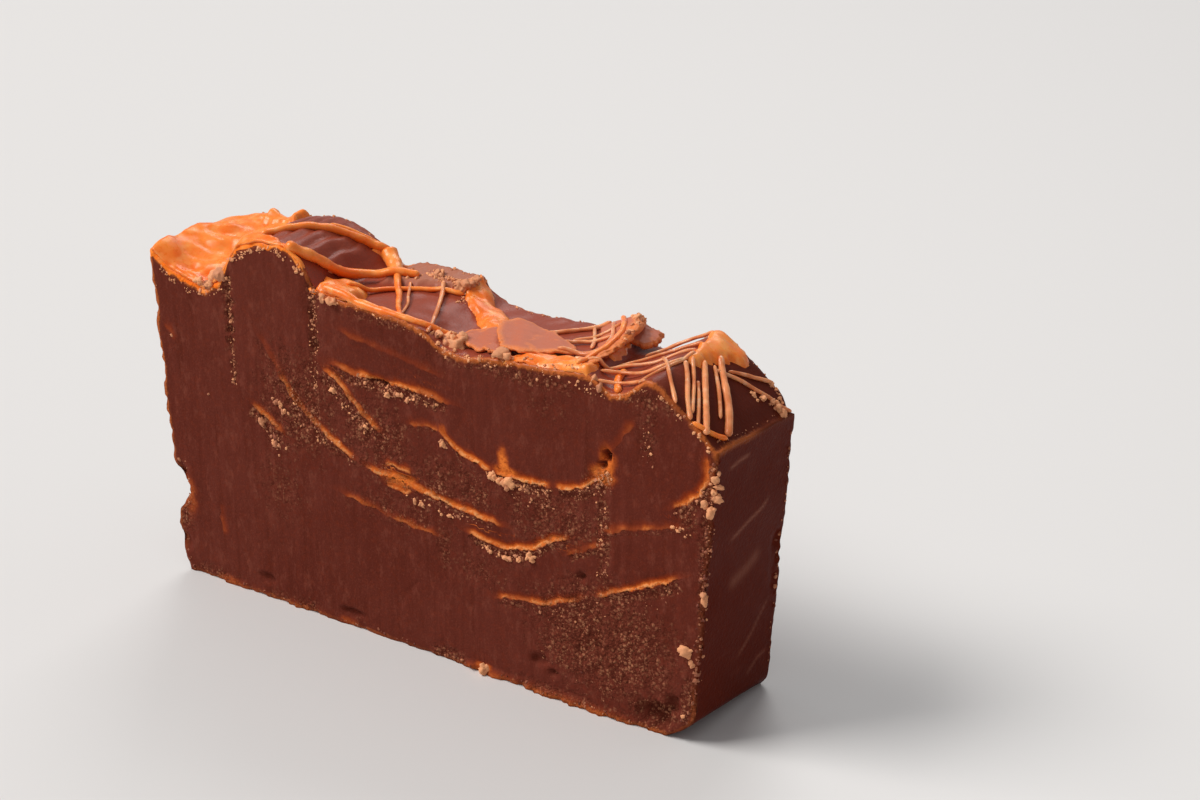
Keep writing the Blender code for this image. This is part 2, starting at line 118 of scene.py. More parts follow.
def hill(value: Array, width: float) -> Array:
    """Return a bell of height 1 at 0 that falls off over a width."""
    return np.exp(-((np.asarray(value, float) / width) ** 2))


class Grain:
    """Repeatable smooth noise for arrays of points."""

    TABLE_SIZE = 4096
    STRIDES = (73856093, 19349663, 83492791)

    def __init__(self, seed: int) -> None:
        """Draw the table of random values from a seed."""
        self.table = np.random.default_rng(seed).uniform(-1.0, 1.0, self.TABLE_SIZE)

    def _corner(self, i: Array, j: Array, k: Array) -> Array:
        """Return the random value of lattice corners."""
        mixed = (i * self.STRIDES[0]) ^ (j * self.STRIDES[1]) ^ (k * self.STRIDES[2])
        return self.table[mixed & (self.TABLE_SIZE - 1)]

    def at(self, x: Array, y: Array, z: Array) -> Array:
        """Return noise between -1 and 1, with cells of size 1.

        Args:
            x: First coordinates.
            y: Second coordinates, an array or a number.
            z: Third coordinates, an array or a number.

        Returns:
            One value for each point.
        """
        x, y, z = np.broadcast_arrays(*(np.asarray(c, float) for c in (x, y, z)))
        cells = [np.floor(c).astype(np.int64) for c in (x, y, z)]
        shares = [c - cell for c, cell in zip((x, y, z), cells)]
        u, v, w = (s * s * (3.0 - 2.0 * s) for s in shares)
        total = np.zeros(x.shape)
        for di, wi in ((0, 1 - u), (1, u)):
            for dj, wj in ((0, 1 - v), (1, v)):
                for dk, wk in ((0, 1 - w), (1, w)):
                    corner = self._corner(cells[0] + di, cells[1] + dj, cells[2] + dk)
                    total += wi * wj * wk * corner
        return total

    def plane(self, a: Array, b: Array, *octaves: tuple[float, float, float]) -> Array:
        """Return a sum of noises over a plane, each of a strength, cells per mm and a layer."""
        return sum(size * self.at(a * cells, b * cells, layer) for size, cells, layer in octaves)


class Polyline:
    """A line through points of a plane, with distances to it."""

    def __init__(self, points: Sequence[Point]) -> None:
        """Keep the line's points, two or more."""
        self.points = np.array(points, float)

    def measure(self, a: Array, b: Array) -> tuple[Array, Array]:
        """Measure how far points are from the line.

        Args:
            a: First coordinates of the points.
            b: Second coordinates of the points.

        Returns:
            The distance, positive below the line, and the share of the line's length there.
        """
        best = np.full(a.shape, FAR_AWAY)
        signed = np.full(a.shape, FAR_AWAY)
        share = np.zeros(a.shape)
        steps = np.diff(self.points, axis=0)
        lengths = np.hypot(steps[:, 0], steps[:, 1])
        total, done = lengths.sum(), 0.0
        for start, step, length in zip(self.points[:-1], steps, lengths):
            ra, rb = a - start[0], b - start[1]
            t = np.clip((ra * step[0] + rb * step[1]) / length**2, 0.0, 1.0)
            far = np.hypot(ra - t * step[0], rb - t * step[1])
            side = np.sign(step[1] * ra - step[0] * rb)
            near = far < best
            best = np.where(near, far, best)
            signed = np.where(near, far * np.where(side == 0, 1.0, side), signed)
            share = np.where(near, (done + t * length) / total, share)
            done += length
        return signed, share

    def along(self, share: float) -> Array:
        """Find a point on the smooth curve through the line's points.

        Args:
            share: The share of the way along, from 0 to 1.

        Returns:
            The point.
        """
        last = len(self.points) - 1
        place = min(max(share, 0.0), 1.0) * last
        number = min(int(place), last - 1)
        t = place - number
        p = [self.points[min(max(number + k, 0), last)] for k in (-1, 0, 1, 2)]
        return 0.5 * (
            2 * p[1]
            + (p[2] - p[0]) * t
            + (2 * p[0] - 5 * p[1] + 4 * p[2] - p[3]) * t**2
            + (3 * p[1] - p[0] - 3 * p[2] + p[3]) * t**3
        )


def inside_outline(outline: Sequence[Point], a: Array, b: Array) -> Array:
    """Measure how deep points lie inside a closed outline.

    Args:
        outline: The outline's corners in turn.
        a: First coordinates of the points.
        b: Second coordinates of the points.

    Returns:
        The distance to the outline, negative outside it.
    """
    corners = np.array([*outline, outline[0]], float)
    far, _ = Polyline(corners).measure(a, b)
    odd = np.zeros(a.shape, bool)
    for (x0, y0), (x1, y1) in zip(corners[:-1], corners[1:]):
        crosses = (y0 > b) != (y1 > b)
        reach = (x1 - x0) * (b - y0) / np.where(y1 == y0, 1e-9, y1 - y0) + x0
        odd ^= crosses & (a < reach)
    return np.where(odd, np.abs(far), -np.abs(far))


@dataclass(frozen=True)
class FoldLine:
    """A fold that crosses the top from the front cut to the back cut, with its bow halfway."""

    front_x: float
    front_z: float
    back_x: float
    back_z: float
    bow: float


@dataclass(frozen=True)
class Seam:
    """A line on a face, such as a seam of orange marbling, a crack or a scratch.

    Attributes:
        route: Its points x, z on a cut, or y, z on an end.
        strength: How bright or deep it is, from 0 to 1.
        lip: How far its lower side stands out, in mm.
        crumble: How crumbly the fudge is below it, from 0 to 1.
        reach: How far down that crumble goes, or how far a scratch spreads, in mm.
    """

    route: tuple[Point, ...]
    strength: float
    lip: float = 0.0
    crumble: float = 0.0
    reach: float = 2.0

    def measure(self, a: Array, b: Array) -> tuple[Array, Array]:
        """Return the signed distance to the line, and the share of its length there."""
        return Polyline(self.route).measure(a, b)


@dataclass(frozen=True)
class Patch:
    """A rounded patch of a cut face: its middle, half sizes and strength."""

    x: float
    z: float
    half_width: float
    half_height: float
    strength: float

    def reach(self, x: Array, z: Array) -> Array:
        """Return 0 at the patch's middle and 1 on its edge."""
        return np.hypot((x - self.x) / self.half_width, (z - self.z) / self.half_height)


SEAMS = rows(
    Seam,
    (((-21.4, 54.5), (-14.5, 53.6), (-8, 53.6), (0.5, 53.7), (9.5, 52.8)), 0.68, 0.35, 0.9, 3.6),
    (((-22.5, 53.4), (-19.5, 51.9), (-16.5, 49.9), (-12.6, 45.8), (-7.6, 42.8)),
     0.62, 0.3, 0.9, 4.5),
    (((-33.5, 50.2), (-29.5, 45.4), (-24.6, 41.3), (-19.6, 38.3), (-13.7, 35.8)),
     0.68, 0.3, 0.8, 3.2),
    (((-13.7, 35.8), (-9.7, 34.9), (-4, 34.8), (0.3, 34), (8.4, 32.9), (20.4, 31.6)),
     0.95, 0.4, 0.5, 2.0),
    (((-40.5, 41.4), (-35.6, 38.9), (-31.6, 36.4)), 0.52, 0.25, 0.9, 4.0),
    (((5.2, 47.6), (5.9, 47.0), (6.9, 45.8), (10.4, 43.6), (17.4, 41.9)), 0.95, 0.35, 0.3, 1.6),
    (((17.4, 41.9), (23.5, 42.2), (30.5, 42.2)), 1.0, 0.4, 0.9, 3.2),
    (((30.5, 42.2), (36.5, 44), (40.6, 46.7), (41.6, 49.6)), 0.9, 0.3, 0.9, 3.0),
    (((40.6, 50), (43.6, 53.6), (45.6, 56.3), (48, 59.4)), 0.28),
    (((-20, 28.6), (-9.7, 27), (0.3, 25.9), (6.5, 25.8)), 0.4),
    (((9.6, 28.4), (15.4, 27.9), (19.4, 27.3), (25.4, 29), (31.5, 32.7), (35.5, 33.9)),
     0.92, 0.4, 0.8, 2.6),
    (((16.3, 16.6), (20.4, 17.6), (28.4, 18.8), (35.5, 21.7), (38.5, 23.3)), 0.62, 0.3, 0.5, 3.0),
    (((38.5, 23.3), (42.6, 25), (50.7, 28.9), (57.8, 32.6)), 0.85, 0.35, 0.6, 3.6),
    (((54.7, 44.8), (57.7, 46.6), (60.7, 49.1), (62.4, 52.0), (61.7, 56.6)), 0.8, 0.2, 0.6, 3.0),
    (((39.6, 36.0), (45.6, 38.3), (50.7, 39.8), (57.8, 42.2)), 0.43, 0.1, 0.3, 2.0),
    (((33, 29.6), (38.6, 32.7), (41, 34.4)), 0.4, 0.1, 0.7, 2.0),
    (((-2, 46.7), (2, 47.1), (5.9, 47.3)), 0.4, 0.1, 0.5, 1.6),
    (((-7.8, 36.9), (-5, 37.2), (-1.2, 36.6)), 0.7),
    (((-7.6, 33.0), (-4, 32.4), (-0.8, 33.1)), 0.75, 0.1),
    (((-50.0, 17.5), (-50.2, 13.5), (-49.8, 10.5)), 0.25),
    (((-61.8, 53.0), (-59.2, 50.2)), 0.35),
    (((-19, 61.4), (-10, 60.2), (0, 58.6), (8, 57.4)), 0.26, 0.1, 0.2, 2.4),
    (((-38, 56.5), (-34, 52.0), (-31, 47.5)), 0.24, 0.1, 0.4, 2.4),
)
CRUMBLES = rows(
    Patch,
    (42, 15, 21, 15, 0.78),
    (-28, 44, 14, 15, 0.62),
    (-10, 42, 14, 12, 0.55),
    (8, 37, 18, 8, 0.48),
    (30, 36, 15, 9, 0.55),
    (-3, 29, 18, 6, 0.42),
    (-34, 26, 10, 14, 0.3),
    (14, 22, 14, 8, 0.3),
    (-2, 59, 18, 3, 0.2),
    (30, 57, 12, 6, 0.22),
    (-8, 50.5, 9, 2.4, 0.35),
    (-15, 47, 6, 4.5, 0.45),
    (-27, 42.5, 4, 3.6, 0.4),
    (-35, 36.5, 4.5, 4.5, 0.5),
    (25, 38.8, 5.5, 2.8, 0.45),
    (40, 45.5, 4, 4.5, 0.55),
    (22, 26, 6, 1.8, 0.35),
    (58.5, 44, 3, 5, 0.5),
    (50, 60, 5, 5, 0.35),
    (-60.5, 14, 5, 9, 0.5),
    (-63.5, 35, 1.8, 3, 0.5),
    (21, 61.6, 25, 2.4, 0.55),
    (-6, 65.2, 19, 1.4, 0.5),
    (50, 63.2, 8, 2.6, 0.6),
    (-36.5, 30, 2.2, 16, 0.25),
    (41, 36, 2.4, 12, 0.7),
    (50.5, 55.5, 2.4, 4, 0.6),
    (6, 24, 3, 9, 0.45),
    (-31.5, 50, 2.6, 10, 0.45),
    (-36.5, 47, 1.8, 13, 0.35),
    (14, 36.5, 5, 3, 0.6),
    (62.2, 34, 2.0, 24, 0.8),
    (59.5, 8, 3, 8, 0.7),
    (52, 4, 7, 4.5, 0.9),
)
ORANGE_CORES = rows(
    Patch,
    (-4.2, 34.6, 4.4, 2.0, 1.0),
    (19.7, 44.2, 1.5, 3.4, 1.0),
    (20.0, 42.7, 3.2, 1.4, 1.0),
    (41.9, 50.4, 2.2, 3.4, 0.85),
    (41.0, 47.3, 3.2, 2.4, 1.0),
    (62.2, 53.5, 1.5, 2.8, 0.6),
    (14.6, 1.4, 2.4, 1.0, 0.7),
    (-49, 1.0, 4.0, 1.0, 0.45),
    (-18, 0.9, 3.0, 0.9, 0.45),
    (-58.8, 17, 2.6, 6.5, 0.45),
    (6.3, 47.2, 1.0, 1.3, 0.6),
)
HOLLOWS = rows(
    Patch,
    (41.9, 51.3, 1.2, 1.5, 3.0),
    (41.0, 49.2, 1.1, 1.0, 1.6),
    (-8.2, 53.0, 3.0, 0.75, 1.6),
    (-3.6, 35.3, 2.6, 0.6, 1.0),
    (52.5, 3.6, 4.6, 3.0, 2.2),
    (56.0, 6.6, 2.4, 2.2, 1.4),
    (36.5, 26.5, 1.3, 1.0, 1.0),
    (27.5, 6.8, 2.6, 1.5, 1.0),
    (30.2, 5.2, 1.5, 1.0, 0.9),
    (-17.0, 3.0, 3.5, 1.2, 0.9),
    (-39.0, 4.2, 3.0, 1.2, 0.9),
    (-60.2, 22.0, 1.6, 2.2, 0.9),
    (-60.6, 6.2, 2.0, 2.4, 0.9),
)
# The back cut has no flame and no cavity, so it leaves out this many of the first rows
FRONT_ONLY = 5
SCRATCHES = (
    Seam(((-7.1, 37.7), (0.0, 39.6), (3.8, 40.4), (7.0, 42.1)), 0.8, reach=0.0),
    Seam(((-8.7, 52.4), (-5.0, 52.9), (-1.3, 52.9)), 0.8, reach=0.0),
    Seam(((-5.8, 28.4), (1.0, 29.6), (6.1, 31.6)), 0.45, reach=0.9),
    Seam(((0.0, 11.1), (5.0, 14.6), (10.3, 20.6)), 0.55, reach=0.0),
    Seam(((4.0, 6.0), (8.0, 8.2), (11.5, 8.6)), 0.5, reach=0.0),
)
CRACKS = rows(
    Seam,
    (((-44.6, 66.0), (-44.4, 60), (-44.7, 54), (-44.3, 47), (-44.6, 40)), 1.0),
    (((-23.2, 69.0), (-23.6, 64), (-23.4, 58), (-23.8, 52), (-23.5, 46)), 0.8),
)
GROOVES = rows(
    Seam,
    (((-5.9, 7.4), (-3.9, 10.6), (-1.8, 13.3), (0.4, 15.2)), 0.8),
    (((-38.9, 14.1), (-36.4, 12.0), (-33.9, 12.6), (-32.4, 14.9)), 0.4),
    (((44.2, 58.0), (44.6, 30), (44.2, 6)), 0.35),
    (((55.9, 52.0), (56.3, 30), (55.8, 8)), 0.3),
    (((5.2, 60.0), (5.0, 40), (5.4, 20)), 0.22),
    (((14.6, 50.0), (14.9, 30), (14.7, 12)), 0.18),
    (((-36.6, 70.0), (-36.3, 50), (-36.6, 24)), 0.5),
    (((-33.4, 68.0), (-33.7, 48), (-33.3, 26)), 0.35),
)


@dataclass
class SliceForm:
    """The measured form of the slice: its folded top, its two ends and its two cuts."""

    bottom_length: float = 120.0
    thickness: float = 26.5
    left_draft_deg: float = 2.8
    right_draft_deg: float = 3.9
    left_overhang: float = 1.3
    widest_left: float = -64.8
    pleat_pitch: float = 2.75
    pleat_height: float = 0.42
    ledge_height: float = 1.2
    chip_z: float = 18.5
    chip_depth: float = 3.4
    foot_front: Point = (5.8, 5.5)
    foot_back: Point = (1.2, 2.2)
    folds: tuple[FoldLine, ...] = rows(
        FoldLine,
        (-64.1, 67.4, -64.1, 66.0, 1.6),
        (-60.9, 65.4, -61.5, 66.6, 2.0),
        (-57.0, 63.4, -58.2, 68.0, 1.6),
        (-51.1, 61.8, -54.6, 69.0, 1.0),
        (-46.1, 64.6, -50.4, 68.0, 1.5),
        (-43.4, 69.5, -47.6, 69.6, 1.0),
        (-40.0, 73.2, -43.6, 71.3, 0.5),
        (-32.5, 75.0, -37.5, 72.0, 0.3),
        (-28.5, 73.8, -32.5, 70.9, 0.0),
        (-25.2, 71.5, -28.0, 69.0, -1.2),
        (-22.8, 68.3, -24.0, 65.8, -1.6),
        (-19.3, 67.6, -21.0, 65.2, -1.0),
        (-9.4, 67.1, -13.0, 65.7, -1.1),
        (0.6, 66.0, -3.5, 65.5, -1.1),
        (3.6, 64.6, -0.6, 64.4, -1.0),
        (6.5, 62.9, 3.0, 62.7, -0.4),
        (10.5, 62.5, 9.0, 62.2, 0.0),
        (20.5, 64.0, 17.0, 62.6, 0.0),
        (30.5, 64.6, 25.0, 63.0, 0.0),
        (37.4, 65.3, 31.0, 64.3, 0.0),
        (39.8, 64.3, 33.6, 61.9, -0.2),
        (42.6, 62.9, 37.5, 61.3, 0.8),
        (45.6, 63.8, 42.0, 63.4, 1.2),
        (50.1, 66.9, 48.2, 66.5, 0.6),
        (54.6, 64.4, 53.0, 64.4, 0.4),
        (60.7, 59.8, 60.0, 59.0, 0.3),
        (64.0, 57.3, 64.0, 55.3, 0.0),
    )
    grain: Grain = field(default_factory=lambda: Grain(11))

    @property
    def half(self) -> float:
        """Half the thickness."""
        return self.thickness / 2.0

    def fold_table(self, y: Array) -> tuple[Array, Array]:
        """Return where every fold stands at depths y.

        Args:
            y: Places through the thickness.

        Returns:
            The folds' x and their heights, one row for each y.
        """
        table = np.array([(f.front_x, f.front_z, f.back_x, f.back_z, f.bow) for f in self.folds])
        t = np.clip(y / self.thickness + 0.5, 0.0, 1.0)[:, None]
        stations = table[:, 0] * (1 - t) + table[:, 2] * t
        heights = table[:, 1] * (1 - t) + table[:, 3] * t + table[:, 4] * 4 * t * (1 - t)
        return stations, heights

    def fold_height(self, x: Array, y: Array) -> Array:
        """Return the height of the smooth folds at points of the plan.

        Args:
            x: Places along the slice.
            y: Places through the thickness.

        Returns:
            The heights, on a curve through the folds that never overshoots.
        """
        stations, heights = self.fold_table(y)
        rows = np.arange(len(x))
        x = np.clip(x, stations[:, 0], stations[:, -1])
        slopes = np.diff(heights, axis=1) / np.diff(stations, axis=1)
        before, after = slopes[:, :-1], slopes[:, 1:]
        mean = 2 * before * after / np.where(before + after == 0, 1.0, before + after)
        tangents = np.zeros_like(heights)
        tangents[:, 1:-1] = np.where(before * after > 0, mean, 0.0)
        i = (x[:, None] >= stations[:, 1:-1]).sum(axis=1)
        width = stations[rows, i + 1] - stations[rows, i]
        t = (x - stations[rows, i]) / width
        start, end = tangents[rows, i] * width, tangents[rows, i + 1] * width
        rise = heights[rows, i + 1] - heights[rows, i]
        square, cube = 3 * rise - 2 * start - end, start + end - 2 * rise
        return heights[rows, i] + t * (start + t * (square + t * cube))

    def ledge_share(self, x: Array, y: Array) -> Array:
        """Return 1 on the broken ledge along the back of the middle trough."""
        broken = y - 5.0 - 0.25 * (x + 9.0) + self.grain.plane(x, y, (0.8, 0.8, 2.0))
        return span(-20.5, -18.5, -3.5, -1.5, x) * ease(-0.8, 0.8, broken)

    def coat_depth(self, x: Array, y: Array) -> Array:
        """Return how deep a point of the plan lies inside the thick icing coat of the left end."""
        wobble = self.grain.plane(x, y, (0.9, 0.45, 9.0), (0.4, 1.3, 5.0))
        return inside_outline(COAT_OUTLINE, x, y) + wobble

    def top(self, x: Array, y: Array) -> Array:
        """Return the height of the top with its pleats, ledge, drapes and roughness.

        Args:
            x: Places along the slice.
            y: Places through the thickness.

        Returns:
            The heights above the bottom.
        """
        height = self.fold_height(x, y)
        t = y / self.thickness + 0.5
        pleated = span(-48.0, -42.0, -27.5, -23.0, x) * ease(0.1, 0.3, t)
        bent = x + 0.2 * y + 0.5 * self.grain.at(x * 0.1, y * 0.2, 1.0)
        phase = math.tau * bent / self.pleat_pitch
        ridge = np.sin(phase) + 0.3 * np.sin(2 * phase + 0.9)
        swell = 0.8 + 0.45 * self.grain.at(x * 0.22, y * 0.16, 12.0)
        height += pleated * (1 - 0.75 * ease(0.8, 1.0, t)) * self.pleat_height * swell * ridge
        crags = np.abs(self.grain.plane(x, y, (1.0, 0.7, 4.0)))
        crags += np.abs(self.grain.plane(x, y, (0.5, 1.6, 8.0)))
        height += self.ledge_share(x, y) * (self.ledge_height + 0.35 * crags)
        coat = ease(-0.5, 1.5, self.coat_depth(x, y))
        drape = self.grain.at(0.16 * x + 0.10 * y, 0.34 * y - 0.22 * x, 3.0)
        height += coat * (0.8 * drape + self.grain.plane(x, y, (0.1, 0.5, 6.0)))
        plain = 1 - np.maximum(pleated, coat)
        height += plain * self.grain.plane(x, y, (0.16, 0.35, 7.0))
        waves = np.sin(0.9 * (x - 0.45 * y) + self.grain.plane(x, y, (1.3, 0.15, 3.0)))
        height += ease(2.0, 6.0, y) * span(4.0, 10.0, 28.0, 34.0, x) * 0.14 * waves
        rim = 1 - ease(0.0, 1.6, np.minimum(y + self.half, self.half - y))
        return height + rim * (0.25 * self.grain.at(x * 1.2, y, 2.0) - 0.15)

    def left_edge(self, y: Array, z: Array) -> Array:
        """Return x on the left end, with its slow waves, the chip and the worn foot.

        Args:
            y: Places through the thickness.
            z: Heights.

        Returns:
            The x values.
        """
        lean = math.tan(math.radians(self.left_draft_deg))
        x = -self.bottom_length / 2 - self.left_overhang - z * lean
        x = x + 0.25 * np.sin(z * 0.45 + 0.8) * ease(5, 15, z) + 0.15 * np.sin(y * 0.5)
        chip = (1 - ease(0.0, 6.5, np.abs(z - self.chip_z))) * (1 - ease(-6.0, 7.0, y))
        foot = 1.5 * (1 - ease(0, 4, z))
        rough = 0.25 * self.grain.at(z * 0.7, y * 0.5, 31.0)
        rough += 0.5 * chip * self.grain.at(z * 1.1, y * 0.9, 33.0)
        return np.maximum(self.widest_left, x + self.chip_depth * chip + foot + rough)

    def right_edge(self, y: Array, z: Array) -> Array:
        """Return x on the right end, with the rounded foot that is deepest at the front.

        Args:
            y: Places through the thickness.
            z: Heights.

        Returns:
            The x values.
        """
        x = self.bottom_length / 2 + z * math.tan(math.radians(self.right_draft_deg))
        x = x + 0.15 * np.sin(z * 0.35) * ease(5, 12, z)
        t = y / self.thickness + 0.5
        depth, height = (f + (b - f) * t for f, b in zip(self.foot_front, self.foot_back))
        scar = hill(y - 11.5, 1.6) * span(20, 23, 31, 34, z) * 0.5
        scar = scar * (1 + self.grain.at(z * 0.8, y, 41.0))
        rough = 0.05 * self.grain.at(z * 0.25, y * 0.25, 43.0)
        return x - depth * (1 - np.minimum(1.0, z / height)) ** 1.6 - scar + rough


COAT_OUTLINE = (
    (-68, -16),
    (-25.5, -16),
    (-26, -12.2),
    (-30, -11.0),
    (-36, -9.9),
    (-41, -8.4),
    (-44.3, -6.0),
    (-45.4, 0),
    (-47.6, 6),
    (-49.5, 16),
    (-68, 16),
)


@dataclass
class CutMarks:
    """The masks and the relief of one cut face at its points.

    Attributes:
        seam: Signed distance to the nearest seam, in mm, positive below it.
        vein: How bright that seam is there.
        crumble: How crumbly the fudge is.
        glow: Broad orange tint, or below 0 the painted shade of a hollow.
        recess: How far the face stands back from its plane, in mm.
    """

    seam: Array
    vein: Array
    crumble: Array
    glow: Array
    recess: Array


@dataclass
class CutFace:
    """One cut face of the slice, with its marbling, cracks and broken places."""

    side: Cut
    grain: Grain = field(default_factory=lambda: Grain(23))
    roughness: float = 0.12
    seam_reach: float = 6.0
    back_shift: float = 70.0

    def pattern_place(self, x: Array, z: Array) -> tuple[Array, Array]:
        """Return where points lie in the pattern, which runs the other way at the back.

        Args:
            x: Places along the slice.
            z: Heights.

        Returns:
            The places along the pattern and up it.
        """
        if self.side is Cut.FRONT:
            return x, z
        bend = 6.0 * np.sin(0.042 * x + 2.3) * ease(0, 12, z)
        return 12.0 - 1.18 * x + 5.0 * np.sin(0.07 * z), 0.84 * z + 5.0 + bend

    def marks(self, x: Array, z: Array) -> CutMarks:
        """Work out the masks and the relief.

        Args:
            x: Places along the slice.
            z: Heights.

        Returns:
            The marks at each point.
        """
        shift, first = (0.0, 0) if self.side is Cut.FRONT else (self.back_shift, FRONT_ONLY)
        foot_z = z
        u, z = self.pattern_place(x, z)
        wobble = self.grain.plane(u, z, (0.35, 0.7, shift), (0.15, 1.9, shift))
        seam, nearest = np.full(x.shape, self.seam_reach), np.full(x.shape, FAR_AWAY)
        vein, crumble, lip, glow = (np.zeros(x.shape) for _ in range(4))
        for item in SEAMS:
            far, share = item.measure(u, z)
            far = far + wobble
            taper = span(0.0, 0.16, 0.84, 1.0, share)
            here = item.strength * (0.12 + 0.88 * taper)
            claim = np.abs(far) + 1.2 * (1 - here)
            closer = claim < nearest
            nearest = np.where(closer, claim, nearest)
            seam, vein = np.where(closer, far, seam), np.where(closer, here, vein)
            below = span(0.1, 0.7, item.reach * 0.5, item.reach, far)
            crumble = np.maximum(crumble, item.crumble * taper * below)
            lip += item.lip * taper * (1.1 * hill(far + 0.45, 0.4) - 0.8 * hill(far - 0.45, 0.55))
        vein *= 1 - ease(1.7, 2.6, np.abs(seam))
        drift = self.grain.at(u * 0.75, z * 0.06, shift + 8.0)
        drift += self.grain.plane(u, z, (0.6, 0.16, shift + 9.0))
        for patch in CRUMBLES:
            soft = 1 - ease(0.1, 1.25, patch.reach(u, z) + 0.3 * wobble + 0.2 * drift)
            crumble = np.maximum(crumble, patch.strength * soft * (1.0 + 0.45 * drift))
        for patch in ORANGE_CORES[first:]:
            warm = 1 - ease(0.4, 1.15, patch.reach(u, z) + 0.5 * wobble)
            glow = np.maximum(glow, patch.strength * warm)
        recess = self.roughness * (1 + self.grain.at(u * 0.35, z * 0.12, shift + 1.0))
        recess += 0.05 * self.grain.at(u * 1.4, z * 0.07, shift + 4.0)
        for patch in HOLLOWS[first:]:
            depth = patch.strength * (1 - ease(0.35, 1.0, patch.reach(u, z) + 0.6 * wobble))
            recess += depth
            # Deep hollows push glow below 0, which the finish paints as shade
            glow = np.maximum(glow - np.maximum(depth - 0.5, 0.0), -1.0)
        for item in CRACKS:
            far, share = item.measure(u, z)
            fade = item.strength * (1 - ease(0.55, 1.0, share))
            fade = fade * (0.6 + 0.6 * self.grain.at(u * 0.3, z * 0.9, shift + 6.0))
            recess += 0.75 * fade * hill(far + 1.6 * wobble, 0.5)
            crumble = np.maximum(crumble, 0.95 * fade * hill(far, 1.5))
        for item in GROOVES:
            far, share = item.measure(u, z)
            recess += 0.22 * item.strength * span(0.0, 0.15, 0.85, 1.0, share) * hill(far, 0.45)
        ragged = 0.5 + 0.5 * self.grain.at(u * 0.25, 0.0, shift + 2.0)
        crumble = np.maximum(crumble, 0.75 * (1 - ease(0.5, 4.5, foot_z)) * ragged)
        pits = self.grain.plane(u, z, (1.0, 0.9, shift + 3.0), (0.6, 1.7, shift + 5.0))
        recess += crumble * (0.22 + 0.34 * pits) + lip
        return CutMarks(seam, vein, crumble, glow, recess)


def placed(name: str, data: Any) -> Piece:
    """Put data in the scene as a new object.

    Args:
        name: The object's name.
        data: Its mesh, light or camera.

    Returns:
        The object.
    """
    item = bpy.data.objects.new(name, data)
    bpy.context.scene.collection.objects.link(item)
    return item


